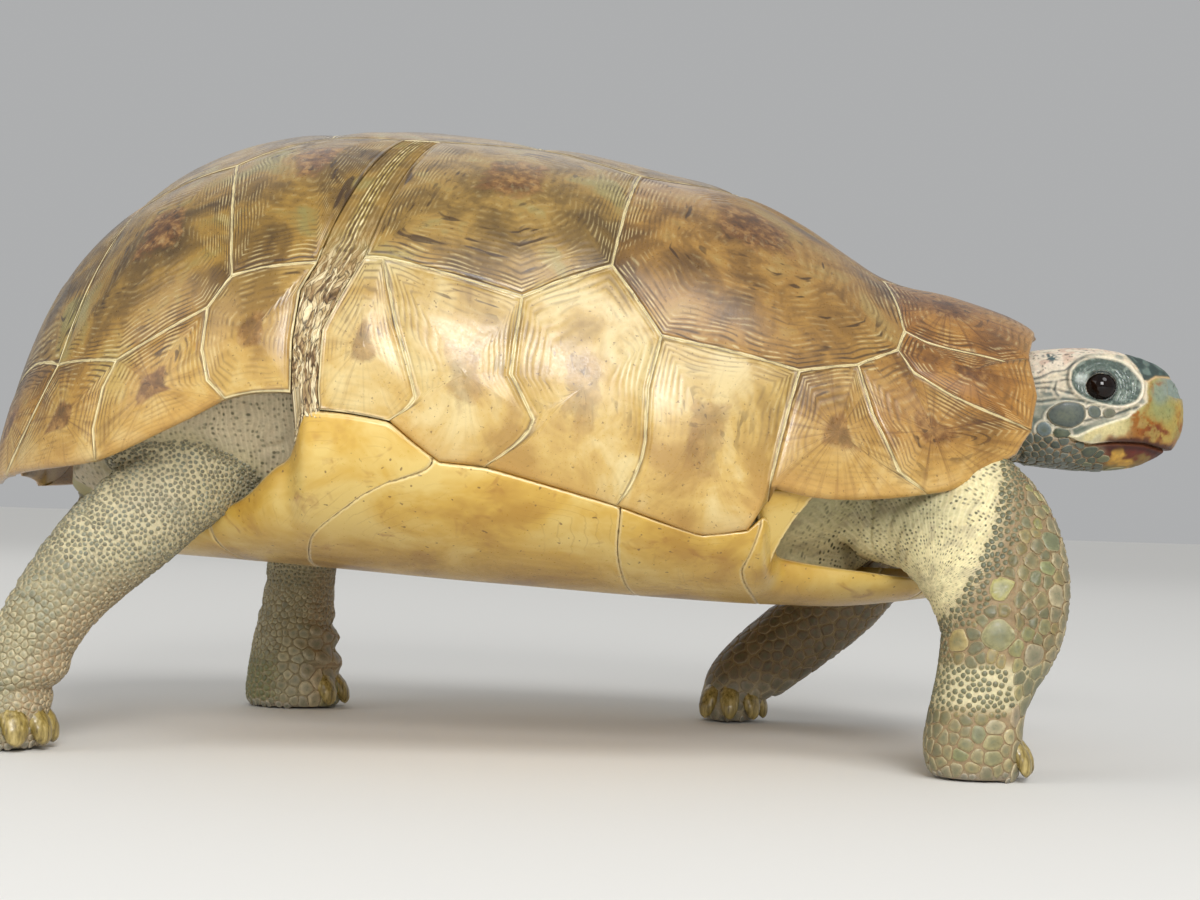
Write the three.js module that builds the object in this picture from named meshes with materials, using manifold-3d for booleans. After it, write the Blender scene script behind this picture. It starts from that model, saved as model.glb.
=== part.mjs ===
// A hinge-back tortoise in mid-stride, life size, as a still model.
// Millimetres. +X points to the head, +Y to the animal's left, +Z up, and the soles stand on z = 0.
// Each horny plate of the shell is a curved slab laid on one smooth shell surface, and each soft part is a
// skin lofted through oval rings. A place on the shell is [x, degrees]: degrees run down from the crown
// (0) past the eaves (90) to the mid-line of the belly (180), positive on the animal's right side.
import * as THREE from 'three';
import { mergeVertices } from 'three/addons/utils/BufferGeometryUtils.js';
import Module from 'manifold-3d';

const V3 = THREE.Vector3;
const { degToRad, lerp, clamp, smoothstep } = THREE.MathUtils;
const wasm = await Module();
wasm.setup();

// ---------------------------------------------------------------- driving sizes
const TAIL_END = -112; // rear tip of the shell
const NOSE_END = 81; // front tip of the shell
const WIDEST = -55; // where the shell is widest
const HALF_WIDTH = 66;
const FRONT_REACH = 155; // how far ahead of WIDEST the plan outline would close
const DOME_POWER = 2.3; // superellipse exponent of the dome's sections
const BELLY_POWER = 2.8;
const BRIDGE_REAR = -47; // the bridge joins dome and belly between these
const BRIDGE_FRONT = 26.5;
const BRIDGE_FADE = 4.5; // beyond them the belly draws in to its free lobes
const PLATE = 3; // thickness of horn and bone together
const GAP = 0.35; // clear space between neighbouring solids
const SKIN_INSET = 5.5; // depth of the trunk's skin under the shell surface

// ---------------------------------------------------------------- curves through stations
// A smooth curve through [x, value] stations, level at both ends.
function curve(stations) {
  const last = stations.length - 1;
  const slope = (k) => (k === 0 || k === last ? 0
    : (stations[k + 1][1] - stations[k - 1][1]) / (stations[k + 1][0] - stations[k - 1][0]));
  return (x) => {
    const at = clamp(x, stations[0][0], stations[last][0]);
    let k = 0;
    while (k < last - 1 && at > stations[k + 1][0]) k += 1;
    const [x0, v0] = stations[k];
    const [x1, v1] = stations[k + 1];
    const h = x1 - x0;
    const t = (at - x0) / h;
    const t2 = t * t;
    const t3 = t2 * t;
    return (2 * t3 - 3 * t2 + 1) * v0 + (t3 - 2 * t2 + t) * h * slope(k)
      + (3 * t2 - 2 * t3) * v1 + (t3 - t2) * h * slope(k + 1);
  };
}

// ---------------------------------------------------------------- shell surface
const CROWN_TOP = 110.3; // height of the highest point
const CROWN_PEAK = -38; // where the back half starts to fall
const RUMP_END = -107; // where the rump would reach the rim
const RIM_LEVEL = 44;
const crownFront = curve([[-38, 110.3], [-10, 108.5], [10, 104.6], [23, 101.8], [36, 95.8], [50, 87.3],
  [64, 84], [76, 80], [84, 75.5]]);
const eaves = curve([[-112, 43.5], [-98, 45], [-82, 47.5], [-67, 53], [-55, 58.5], [-40, 60.5], [-20, 58],
  [0, 54], [15, 50], [28, 47], [40, 45], [57, 46.4], [66, 49.5], [74, 52], [84, 55]]);
const keel = curve([[-112, 33], [-60, 31], [-20, 28.5], [40, 26], [72, 29]]);
const lobeHalf = curve([[-93, 9], [-88, 22], [-80, 32], [-70, 40], [-60, 48], [-50, 57.5],
  [27, 46], [32, 42], [45, 38.5], [58, 31], [67, 19], [72, 9]]);
const lobeEdge = curve([[-93, 35], [-80, 36.5], [-70, 39], [-60, 43.5], [-50, 51],
  [27, 38], [32, 36], [45, 34], [58, 32.5], [72, 32]]);

function crown(x) {
  if (x >= CROWN_PEAK) return crownFront(x);
  const t = Math.min(1, (CROWN_PEAK - x) / (CROWN_PEAK - RUMP_END));
  const rump = RIM_LEVEL + (CROWN_TOP - RIM_LEVEL) * Math.sqrt(1 - t ** 2.4);
  if (x > -96) return rump;
  const flare = RIM_LEVEL + 1.5 + (x - TAIL_END) * 2; // the rear rim turns outwards
  const blend = 2.5;
  return blend * Math.log(Math.exp(rump / blend) + Math.exp(flare / blend));
}

function halfWidth(x) {
  const reach = x < WIDEST ? WIDEST - TAIL_END : FRONT_REACH;
  const power = x < WIDEST ? 2 : 2.4;
  const t = Math.min(1, Math.abs(x - WIDEST) / reach);
  return HALF_WIDTH * (1 - t ** power) ** (1 / power);
}

// A point of the shell; below the eaves it is the tucked-under part or, past the seam, the belly.
function onShell([x, degrees]) {
  const turned = ((degrees + 540) % 360) - 180;
  const a = degToRad(Math.abs(turned));
  const side = turned < 0 ? 1 : -1;
  const across = Math.sin(a);
  const lift = Math.cos(a);
  const level = eaves(x);
  if (lift >= 0) {
    return new V3(x, side * halfWidth(x) * across ** (2 / DOME_POWER),
      level + (crown(x) - level) * lift ** (2 / DOME_POWER));
  }
  const bridge = smoothstep(x, BRIDGE_REAR - BRIDGE_FADE, BRIDGE_REAR)
    * (1 - smoothstep(x, BRIDGE_FRONT, BRIDGE_FRONT + BRIDGE_FADE));
  const half = lerp(lobeHalf(x), halfWidth(x), bridge);
  const edge = lerp(lobeEdge(x), level, bridge);
  return new V3(x, side * half * across ** (2 / BELLY_POWER),
    edge - (edge - keel(x)) * (-lift) ** (2 / BELLY_POWER));
}

// Direction from the shell's inner axis out through a point.
function outward(p) {
  const axis = new V3(clamp(p.x, -70, 50), 0, clamp(p.z, 46, 56));
  return p.clone().sub(axis).normalize();
}

// ---------------------------------------------------------------- solids from rings and fans
function toGeometry(points, faces) {
  const geometry = new THREE.BufferGeometry();
  const flat = points.flatMap((p) => [p.x, p.y, p.z]);
  geometry.setAttribute('position', new THREE.Float32BufferAttribute(flat, 3));
  let volume = 0;
  const normal = new V3();
  for (const [i, j, k] of faces) volume += points[i].dot(normal.crossVectors(points[j], points[k]));
  geometry.setIndex(faces.flatMap(([i, j, k]) => (volume < 0 ? [i, k, j] : [i, j, k])));
  return geometry;
}

// A closed body through rings of equal count, with a fan over each end.
function loft(rings) {
  const count = rings[0].length;
  const points = rings.flat();
  const faces = [];
  for (let r = 0; r < rings.length - 1; r += 1) {
    for (let i = 0; i < count; i += 1) {
      const a = r * count + i;
      const b = r * count + ((i + 1) % count);
      faces.push([a, b, b + count], [a, b + count, a + count]);
    }
  }
  [0, rings.length - 1].forEach((r) => {
    const hub = rings[r].reduce((sum, p) => sum.add(p), new V3()).divideScalar(count);
    points.push(hub);
    const h = points.length - 1;
    for (let i = 0; i < count; i += 1) {
      const a = r * count + i;
      const b = r * count + ((i + 1) % count);
      faces.push(r === 0 ? [h, b, a] : [h, a, b]);
    }
  });
  return toGeometry(points, faces);
}

// A bent slab between two grids of points, given as rows of equal count.
function slab(upper, lower) {
  const rows = upper.length;
  const columns = upper[0].length;
  const points = [...upper.flat(), ...lower.flat()];
  const top = (r, c) => r * columns + c;
  const base = (r, c) => (rows + r) * columns + c;
  const faces = [];
  const quad = (a, b, c, d) => faces.push([a, b, c], [a, c, d]);
  for (let r = 0; r < rows - 1; r += 1) {
    for (let c = 0; c < columns - 1; c += 1) {
      quad(top(r, c), top(r, c + 1), top(r + 1, c + 1), top(r + 1, c));
      quad(base(r, c), base(r + 1, c), base(r + 1, c + 1), base(r, c + 1));
    }
    quad(top(r, 0), top(r + 1, 0), base(r + 1, 0), base(r, 0));
    quad(top(r, columns - 1), base(r, columns - 1), base(r + 1, columns - 1), top(r + 1, columns - 1));
  }
  for (let c = 0; c < columns - 1; c += 1) {
    quad(top(0, c), base(0, c), base(0, c + 1), top(0, c + 1));
    quad(top(rows - 1, c), top(rows - 1, c + 1), base(rows - 1, c + 1), base(rows - 1, c));
  }
  return toGeometry(points, faces);
}

// A path of corners split into steps of about one length, the same from either end.
function walk(corners, step) {
  const path = [];
  corners.forEach((from, k) => {
    const to = corners[(k + 1) % corners.length];
    const parts = Math.max(1, Math.round(onShell(from).distanceTo(onShell(to)) / step));
    for (let i = 0; i < parts; i += 1) {
      path.push([lerp(from[0], to[0], i / parts), lerp(from[1], to[1], i / parts)]);
    }
  });
  return path;
}

// A horny plate: its outline and its areola (the first, oldest spot) are places on the shell. It is
// `lift` higher at the areola than at its seams, and `grow` makes the keep-clear copy for cutting.
function plate(corners, areola, { lift = 0.9, step = 8.5, rings = 2, thick = PLATE, grow = 0 } = {}) {
  const outline = walk(corners, step);
  const heart = onShell(areola);
  const placed = ([x, degrees], share) => {
    const p = onShell([x, degrees]);
    const pull = share === 1 ? GAP / 2 + 0.05 - grow : 0;
    p.add(heart.clone().sub(p).normalize().multiplyScalar(pull));
    return p;
  };
  const top = [];
  const under = [];
  for (let r = rings; r > 0; r -= 1) {
    const share = r / rings;
    outline.forEach(([x, degrees]) => {
      const p = placed([lerp(areola[0], x, share), lerp(areola[1], degrees, share)], share);
      const out = outward(p);
      top.push(p.clone().addScaledVector(out, lift * (1 - share * share) + grow));
      if (r === rings || rings > 2) under.push(p.clone().addScaledVector(out, -thick - grow));
    });
  }
  const out = outward(heart);
  const count = outline.length;
  const points = [...top, heart.clone().addScaledVector(out, lift + grow),
    ...under, heart.clone().addScaledVector(out, -thick - grow)];
  const faces = [];
  const dish = (base, rows, flip) => {
    const hub = base + rows * count;
    for (let r = 0; r < rows; r += 1) {
      for (let i = 0; i < count; i += 1) {
        const a = base + r * count + i;
        const b = base + r * count + ((i + 1) % count);
        const tris = r === rows - 1 ? [[a, b, hub]] : [[a, b, b + count], [a, b + count, a + count]];
        tris.forEach(([i0, i1, i2]) => faces.push(flip ? [i0, i2, i1] : [i0, i1, i2]));
      }
    }
  };
  dish(0, rings, false);
  const base = top.length + 1;
  dish(base, under.length / count, true);
  for (let i = 0; i < count; i += 1) {
    const j = (i + 1) % count;
    faces.push([i, base + i, base + j], [i, base + j, j]);
  }
  return toGeometry(points, faces);
}

// A strip of the shell between two lines, as a bent slab a little lower than the plates beside it.
function strip([front, rear], side, { sink = 0.5, thick = 2, rows = 14, grow = 0 } = {}) {
  const along = (line, share) => {
    const points = line.map(([x, degrees]) => onShell([x, side * degrees]));
    const lengths = points.map((p, k) => (k === 0 ? 0 : p.distanceTo(points[k - 1])));
    let left = share * lengths.reduce((a, b) => a + b);
    let k = 1;
    while (k < line.length - 1 && left > lengths[k]) {
      left -= lengths[k];
      k += 1;
    }
    const t = Math.min(1, left / lengths[k]);
    return [lerp(line[k - 1][0], line[k][0], t), lerp(line[k - 1][1], line[k][1], t)];
  };
  const sunk = (p, depth) => p.clone().addScaledVector(outward(p), -depth);
  const tops = Array.from({ length: rows + 1 }, (_, r) => {
    const share = lerp(0.012, 0.985, r / rows);
    const a = along(front, share);
    const b = along(rear, share);
    const top = [0, 0.5, 1].map((t) => onShell([lerp(a[0], b[0], t), side * lerp(a[1], b[1], t)]));
    const across = top[2].clone().sub(top[0]).normalize().multiplyScalar(GAP / 2 + 0.05 - grow);
    top[0].add(across);
    top[2].sub(across);
    return top;
  });
  return slab(tops.map((row) => row.map((p) => sunk(p, sink - grow))),
    tops.map((row) => row.map((p) => sunk(p, sink + thick + grow))));
}

// ---------------------------------------------------------------- joining and cutting
function toManifold(geometry) {
  const bare = geometry.clone();
  bare.deleteAttribute('normal');
  bare.deleteAttribute('uv');
  const merged = mergeVertices(bare, 1e-4);
  return new wasm.Manifold(new wasm.Mesh({
    numProp: 3,
    vertProperties: new Float32Array(merged.attributes.position.array),
    triVerts: new Uint32Array(merged.index.array),
  }));
}

function fromManifold(solid) {
  const { vertProperties, triVerts } = solid.getMesh();
  const geometry = new THREE.BufferGeometry();
  geometry.setAttribute('position', new THREE.BufferAttribute(new Float32Array(vertProperties), 3));
  geometry.setIndex(new THREE.BufferAttribute(new Uint32Array(triVerts), 1));
  return geometry;
}

const joined = (...geometries) => fromManifold(geometries.map(toManifold).reduce((a, b) => a.add(b)));

// The largest piece of a body after its neighbours' keep-clear copies are taken away.
function trimmed(body, cutters) {
  const solid = cutters.map(toManifold).reduce((left, tool) => left.subtract(tool), toManifold(body));
  const pieces = solid.decompose().sort((a, b) => b.volume() - a.volume());
  return fromManifold(pieces[0]);
}

// ---------------------------------------------------------------- seams of the carapace
// Junctions of the vertebral row with the costal row, front to rear.
const RIDGE = {
  front: [50, 20], first: [23.3, 16], costal12: [5.6, 24], second: [-12.4, 19], hingeFront: [-30, 24],
  hingeRear: [-36, 24.5], third: [-49, 22.5], costal34: [-64.2, 32], fourth: [-83, 27], rear: [-91.3, 68.4],
};
// Junctions of the costal row with the marginal row.
const SILL = {
  front: [51.4, 48], marginal23: [49.8, 55.3], marginal34: [42.5, 63.7], marginal45: [32.4, 70],
  marginal56: [9.4, 71.5], costal12: [1, 59.9], marginal67: [-13.4, 70.8], marginal78: [-36.2, 67.2],
  hingeFront: [-39.1, 67.2], hingeRear: [-46.8, 68.4], costal34: [-60.6, 67.7], marginal910: [-64.1, 72.1],
  marginal1011: [-79.5, 74.6],
};
// Points of the free rim and of the seam between bridge and belly.
const RIM = {
  nuchal: [80.6, 8], shoulder: [78, 28], marginal12: [74.4, 51.7], cheek: [75.2, 68], marginal23: [73.6, 80],
  corner: [71, 86], flare: [64.5, 89.4], marginal34: [54.6, 89.4], free4: [40, 89.8],
  marginal45: [27.8, 90.2],
  hingeRear: [-49.8, 90], marginal910: [-60.3, 88.6], marginal1011: [-82.4, 89.7], marginal1112: [-102.4, 89],
  supracaudal: [-110.2, 89],
};
const BRIDGE = {
  marginal45: [24.5, 104.2], low: [17, 110], marginal56: [3, 105.3],
  marginal67: [-18.4, 100.9], inguinal: [-25.8, 101.6], marginal78: [-33.9, 93.8], hinge: [-45, 92.5],
};
// Bends along the long marginal seams, listed from the sill down.
const BEND = {
  marginal12: [[55.1, 50.5], [61.4, 52.9], [69.6, 55.4]],
  marginal23: [[52.1, 60.9], [61.5, 69.7]],
  marginal34: [[44.8, 73.7], [49.7, 85.3]],
  marginal56: [[7.4, 81.1], [7.2, 89]],
  marginal67: [[-14.7, 84.5], [-10.9, 90]],
  marginal78: [[-33.4, 79.7], [-29.9, 90.1]],
  hingeFront: [[-45.1, 81.3], [-45.4, 90]],
  hingeRear: [[-49.1, 73.7], [-49.9, 82.6]],
  marginal910: [[-64.5, 79.4], [-63.2, 84.9]],
  marginal1011: [[-81.5, 78.4], [-83, 85.1]],
};
const NUCHAL_REAR = [59, 5]; // where nuchal, first marginal and first vertebral meet
const RUMP_CORNER = [-104.2, 52]; // where the fifth vertebral, last marginal and supracaudal meet
const rising = (bends) => [...bends].reverse();
const mirrored = (corners) => corners.map(([x, degrees]) => [x, -degrees]).reverse();

// Costals: [outline, areola] on the right side.
const COSTALS = [
  [[RIDGE.front, RIDGE.first, RIDGE.costal12, SILL.costal12, SILL.marginal56, SILL.marginal45,
    SILL.marginal34, SILL.marginal23, SILL.front], [24.8, 36]],
  [[RIDGE.costal12, RIDGE.second, RIDGE.hingeFront, SILL.hingeFront, SILL.marginal78, SILL.marginal67,
    SILL.costal12], [-16, 40]],
  [[RIDGE.hingeRear, RIDGE.third, RIDGE.costal34, SILL.costal34, SILL.hingeRear], [-49, 38]],
  [[RIDGE.costal34, RIDGE.fourth, RIDGE.rear, SILL.marginal1011, SILL.marginal910, SILL.costal34],
    [-74, 48]],
];
// Marginals: [outline, areola] on the right side. Twelve on each side, the rear four behind the hinge.
const MARGINALS = [
  [[RIDGE.front, NUCHAL_REAR, RIM.nuchal, RIM.shoulder, RIM.marginal12, ...rising(BEND.marginal12),
    SILL.front], [60, 33]],
  [[SILL.front, ...BEND.marginal12, RIM.marginal12, RIM.cheek, RIM.marginal23, ...rising(BEND.marginal23),
    SILL.marginal23], [62, 60]],
  [[SILL.marginal23, ...BEND.marginal23, RIM.marginal23, RIM.corner, RIM.flare, RIM.marginal34,
    ...rising(BEND.marginal34), SILL.marginal34], [55, 76]],
  [[SILL.marginal34, ...BEND.marginal34, RIM.marginal34, RIM.free4, RIM.marginal45, SILL.marginal45],
    [39, 79]],
  [[SILL.marginal45, RIM.marginal45, BRIDGE.marginal45, BRIDGE.low, BRIDGE.marginal56,
    ...rising(BEND.marginal56), SILL.marginal56], [17, 84]],
  [[SILL.marginal56, ...BEND.marginal56, BRIDGE.marginal56, BRIDGE.marginal67, ...rising(BEND.marginal67),
    SILL.marginal67, SILL.costal12], [-3, 84]],
  [[SILL.marginal67, ...BEND.marginal67, BRIDGE.marginal67, BRIDGE.inguinal, BRIDGE.marginal78,
    ...rising(BEND.marginal78), SILL.marginal78], [-22, 86]],
  [[SILL.marginal78, ...BEND.marginal78, BRIDGE.marginal78, BRIDGE.hinge, ...rising(BEND.hingeFront),
    SILL.hingeFront], [-38.5, 84]],
  [[SILL.hingeRear, ...BEND.hingeRear, RIM.hingeRear, RIM.marginal910, ...rising(BEND.marginal910),
    SILL.marginal910, SILL.costal34], [-56.5, 80]],
  [[SILL.marginal910, ...BEND.marginal910, RIM.marginal910, RIM.marginal1011, ...rising(BEND.marginal1011),
    SILL.marginal1011], [-72.5, 82]],
  [[SILL.marginal1011, ...BEND.marginal1011, RIM.marginal1011, RIM.marginal1112, RIDGE.rear], [-89, 81]],
  [[RIDGE.rear, RIM.marginal1112, RIM.supracaudal, RUMP_CORNER], [-101.5, 72]],
];
// Vertebrals: the right half from front to rear, closed by its mirror image, the areola's x, and finer
// steps where the plate bends most.
const VERTEBRALS = [
  [[NUCHAL_REAR, RIDGE.front, RIDGE.first], 40],
  [[RIDGE.first, RIDGE.costal12, RIDGE.second], 5],
  [[RIDGE.second, RIDGE.hingeFront, RIDGE.hingeRear, RIDGE.third], -30],
  [[RIDGE.third, RIDGE.costal34, RIDGE.fourth], -65],
  [[RIDGE.fourth, RIDGE.rear, RUMP_CORNER], -94, { rings: 3, step: 10 }],
];
// The hinge: soft horn between two lines, both listed from the vertebral row down to the rim.
const HINGE_LINES = [[RIDGE.hingeFront, SILL.hingeFront, ...BEND.hingeFront, BRIDGE.hinge],
  [RIDGE.hingeRear, SILL.hingeRear, ...BEND.hingeRear, RIM.hingeRear]];

// ---------------------------------------------------------------- belly plates
// Rear border of each pair of belly scutes on the mid-line, and where it reaches the edge.
const BELLY_SEAMS = [
  { middle: 71, edge: 71 }, { middle: 54, edge: 58 }, { middle: 30, edge: 26.6 }, { middle: 7, edge: 4 },
  { middle: -40, edge: -45.5 }, { middle: -62, edge: -66 }, { middle: -89, edge: -92 },
];
const BELLY_NAMES = ['gular', 'humeral', 'pectoral', 'abdominal', 'femoral', 'anal'];
const BELLY_EDGE = 92; // degrees where a free lobe ends
const DEGREES_PER_MM = 1.3; // on the bend of the bridge

// Degrees at the right edge of the belly: the bridge seam where there is one, else the lobe's edge.
function bellyEdge(x) {
  const seam = Object.values(BRIDGE);
  if (x > BRIDGE_FRONT) return lerp(seam[0][1], BELLY_EDGE, Math.min(1, (x - BRIDGE_FRONT) / BRIDGE_FADE));
  if (x < BRIDGE_REAR - BRIDGE_FADE) return BELLY_EDGE;
  const next = seam.findIndex(([sx]) => sx < x);
  if (next === 0) return seam[0][1];
  if (next < 0) return seam.at(-1)[1];
  const [a, b] = [seam[next - 1], seam[next]];
  return lerp(a[1], b[1], (a[0] - x) / (a[0] - b[0]));
}

// A pair of belly scutes as one slab: rows from its front seam to its rear seam, columns across.
const BELLY_COLUMNS = 12;
const BELLY_ROW = 15; // greatest distance between rows
function bellyPlate(k, grow = 0) {
  const front = BELLY_SEAMS[k];
  const rear = BELLY_SEAMS[k + 1];
  const kinks = Object.values(BRIDGE).map(([x]) => x);
  const bends = [BRIDGE_FRONT + BRIDGE_FADE, ...kinks, BRIDGE_REAR - BRIDGE_FADE];
  const edges = [front.edge, ...bends.filter((x) => x < front.edge - 2 && x > rear.edge + 2), rear.edge];
  const rows = edges.flatMap((x, i) => {
    const parts = i === 0 ? 1 : Math.ceil((edges[i - 1] - x) / BELLY_ROW);
    return i === 0 ? [x] : Array.from({ length: parts }, (_, j) => lerp(edges[i - 1], x, (j + 1) / parts));
  });
  const upper = rows.map(() => []);
  const lower = rows.map(() => []);
  rows.forEach((row, r) => {
    const share = (front.edge - row) / (front.edge - rear.edge);
    const inset = (r === 0 ? 1 : r === rows.length - 1 ? -1 : 0) * (GAP / 2 - grow);
    for (let c = 0; c <= BELLY_COLUMNS; c += 1) {
      const across = (2 * c) / BELLY_COLUMNS - 1;
      const seam = (border) => lerp(border.middle, border.edge, across * across);
      const x = lerp(seam(front), seam(rear), share) - inset;
      const reach = 180 - bellyEdge(x) - (GAP - grow) * DEGREES_PER_MM;
      const p = onShell([x, 180 - across * reach]);
      const bend = Math.abs(across) ** 4;
      const out = new V3(0, -across * bend, bend - 1.15).normalize();
      upper[r].push(p.clone().addScaledVector(out, grow));
      lower[r].push(p.clone().addScaledVector(out, -PLATE - grow));
    }
  });
  return slab(upper, lower);
}

// ---------------------------------------------------------------- soft parts
// An oval ring round a centre: `along` is the direction of the limb, `wide` and `deep` its half sizes.
function ovalRing(centre, along, wide, deep, count, power = 2) {
  const forward = along.clone().normalize();
  const side = new V3(0, 1, 0).addScaledVector(forward, -forward.y).normalize();
  const cross = new V3().crossVectors(side, forward);
  return Array.from({ length: count }, (_, i) => {
    const a = (2 * Math.PI * i) / count;
    const c = Math.cos(a);
    const s = Math.sin(a);
    return centre.clone().addScaledVector(cross, wide * Math.sign(c) * Math.abs(c) ** (2 / power))
      .addScaledVector(side, deep * Math.sign(s) * Math.abs(s) ** (2 / power));
  });
}

// A limb: rows of [x, y, z, half length fore-and-aft, half depth], then a flat sole at z = 0.
function limb(rows, count) {
  const centres = rows.map(([x, y, z]) => new V3(x, y, z));
  const rings = rows.map(([, , , wide, deep], k) => {
    const ahead = centres[Math.min(k + 1, rows.length - 1)];
    const behind = centres[Math.max(k - 1, 0)];
    const along = ahead.clone().sub(behind);
    if (k >= rows.length - 2) along.set(0, 0, -1);
    return ovalRing(centres[k], along, wide, deep, count, 2.2);
  });
  return loft(rings);
}

const LEG_SIDES = 12;
const CLAW_RADIUS = 2.1;
const CLAW_SIDES = 5;
const CLAW_ROOT = 0.7; // share of the foot's reach where a claw is rooted
const CLAW_HEIGHT = 4.8;

// A claw: a blunt horny cone from root to tip, arched on top.
function claw(root, tip, radius) {
  const along = tip.clone().sub(root);
  const arch = new V3(0, 0, radius * 0.7);
  const rings = [[0, 1], [0.55, 0.9], [1, 0.2]].map(([t, size]) => ovalRing(
    root.clone().addScaledVector(along, t).addScaledVector(arch, t * (1 - t)),
    along, radius * size, radius * size, CLAW_SIDES));
  return loft(rings);
}

// Claws in a fan round the front of a foot: the foot's middle, its reach and the way the toes point.
function claws(middle, reach, heading, spread, count, length) {
  return Array.from({ length: count }, (_, i) => {
    const a = degToRad(heading + spread * (i / (count - 1) - 0.5));
    const out = new V3(Math.cos(a), Math.sin(a), 0);
    const root = new V3(middle[0] + out.x * reach[0] * CLAW_ROOT, middle[1] + out.y * reach[1] * CLAW_ROOT,
      CLAW_HEIGHT);
    const tip = root.clone().addScaledVector(out, length).setZ(0.5);
    return claw(root, tip, CLAW_RADIUS);
  });
}

// Right fore leg, planted ahead; left fore leg, pushing back; right hind leg, stretched behind;
// left hind leg, under the hip. Rows run from the hidden root to the sole.
const LEGS = {
  leg_front_right: {
    rows: [[46, -33, 45, 12, 9], [55, -41.5, 42.5, 13.2, 9.4], [61, -46.5, 37.5, 13.4, 9.2],
      [65.5, -49.5, 31, 12.4, 8.8], [67, -51, 24, 10.6, 8.4], [65.3, -51.5, 17.5, 8.6, 7.8],
      [63.7, -51.5, 11.5, 7.9, 7.6], [63.2, -51.5, 6, 8.4, 7.8], [63.4, -51.5, 1.6, 7.9, 7.4],
      [63.6, -51.5, 0, 6.9, 6.6]],
    foot: { middle: [63.6, -51.5], reach: [7.6, 7.2], heading: 30, spread: 120, count: 5, length: 3.4 },
  },
  leg_front_left: {
    rows: [[50, 30, 46, 10, 9], [55, 37, 41, 10.5, 9], [56, 42.5, 34, 9.5, 8.6], [51, 44, 26, 8.8, 8.2],
      [43.5, 43.5, 19, 8.2, 8], [36, 42.5, 13, 7.8, 7.8], [30.6, 41.6, 8, 7.2, 7.6],
      [28.4, 41, 3.6, 6.6, 7.4], [28, 41, 1.2, 5.8, 7], [28, 41, 0, 5, 6.2]],
    foot: { middle: [28.2, 41], reach: [5.6, 7], heading: 0, spread: 120, count: 5, length: 3.4 },
  },
  leg_rear_right: {
    rows: [[-62, -30, 46, 9, 8], [-66, -40, 47, 8.5, 8], [-71, -46, 44, 8.8, 8], [-77.5, -49, 38, 9, 8],
      [-84, -50, 31.5, 8.4, 7.8], [-89.5, -50.5, 24.5, 7.4, 7.4], [-94, -50.5, 16.5, 7.2, 7.4],
      [-97, -50.5, 9.5, 7.6, 7.8], [-98.8, -50.5, 4, 8.4, 8.2], [-98.8, -50.5, 1.4, 8.2, 8],
      [-98.8, -50.5, 0, 7.2, 7.2]],
    foot: { middle: [-98.8, -50.5], reach: [8, 7.8], heading: -15, spread: 105, count: 4, length: 3 },
  },
  leg_rear_left: {
    rows: [[-56, 30, 48, 10, 8], [-58, 38, 45, 9.4, 8], [-60, 42, 38, 8.2, 7.8], [-61, 43.5, 30, 7.4, 7.4],
      [-61.6, 44, 22, 7.6, 7.6], [-62, 44, 14, 8.8, 8.4], [-62, 44, 7, 9.8, 9], [-62, 44, 2, 10, 9.2],
      [-62, 44, 0, 9, 8.4]],
    foot: { middle: [-62, 44], reach: [9.6, 9], heading: 12, spread: 100, count: 4, length: 3 },
  },
};

// Head rows: x, top, bottom and half width, from the nape to the beak.
const HEAD_ROWS = [[77, 73, 55, 9.5], [80, 75, 53.4, 10.8], [84.5, 75.7, 52.9, 12], [89, 76, 52.6, 12],
  [93.5, 76, 52.5, 11], [98, 75.2, 52.8, 9.6], [102, 74.2, 53.8, 8], [105.5, 72.6, 55.4, 6.2],
  [108, 69.8, 57.6, 4.2], [109.4, 67, 60.5, 2.2]];
const HEAD_SIDES = 16;
const HEAD_POWER = 2.5; // superellipse exponent of its sections
const headMiddle = curve([[77, 64], [93, 64.6], [102, 64.4], [109.4, 63.8]]);
function headShape(grow = 0) {
  return loft(HEAD_ROWS.map(([x, top, bottom, half], k) => {
    const middle = headMiddle(x);
    const end = k === 0 ? -grow : 0;
    return Array.from({ length: HEAD_SIDES }, (_, i) => {
      const a = (2 * Math.PI * i) / HEAD_SIDES;
      const c = Math.cos(a);
      const s = Math.sin(a);
      const height = s > 0 ? top - middle : middle - bottom;
      return new V3(x + end, (half + grow) * Math.sign(c) * Math.abs(c) ** (2 / HEAD_POWER),
        middle + (height + grow) * Math.sign(s) * Math.abs(s) ** (2 / HEAD_POWER));
    });
  }));
}
const EYE = { centre: new V3(92.2, 8.4, 68.2), radius: 3.1 };

function ball(centre, radius, grow = 0) {
  const sphere = new THREE.SphereGeometry(radius + grow, 10, 6);
  sphere.translate(centre.x, centre.y, centre.z);
  return sphere;
}

// Neck rows: x, z, half height and half width.
const NECK_ROWS = [[44, 58, 14, 13], [58, 60, 13.4, 12.6], [70, 63, 12, 11.4], [79, 64.2, 9.6, 9.4]];
const NECK_SIDES = 14;
function neckShape(grow = 0) {
  return loft(NECK_ROWS.map(([x, z, high, wide]) => ovalRing(new V3(x, 0, z), new V3(1, 0, 0),
    high + grow, wide + grow, NECK_SIDES)));
}

// Tail rows: x, y, z and radius.
const TAIL_ROWS = [[-82, 0, 43, 7], [-90, -1, 40.5, 6], [-96, -3, 35.5, 4.8], [-99, -5.5, 29.5, 3.4],
  [-98.5, -8, 24.5, 2], [-97.5, -9.5, 21.5, 0.8]];
const TAIL_SIDES = 8;
function tailShape() {
  const centres = TAIL_ROWS.map(([x, y, z]) => new V3(x, y, z));
  return loft(TAIL_ROWS.map(([, , , radius], k) => {
    const ahead = centres[Math.min(k + 1, centres.length - 1)];
    const behind = centres[Math.max(k - 1, 0)];
    return ovalRing(centres[k], ahead.clone().sub(behind), radius, radius, TAIL_SIDES);
  }));
}

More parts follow.
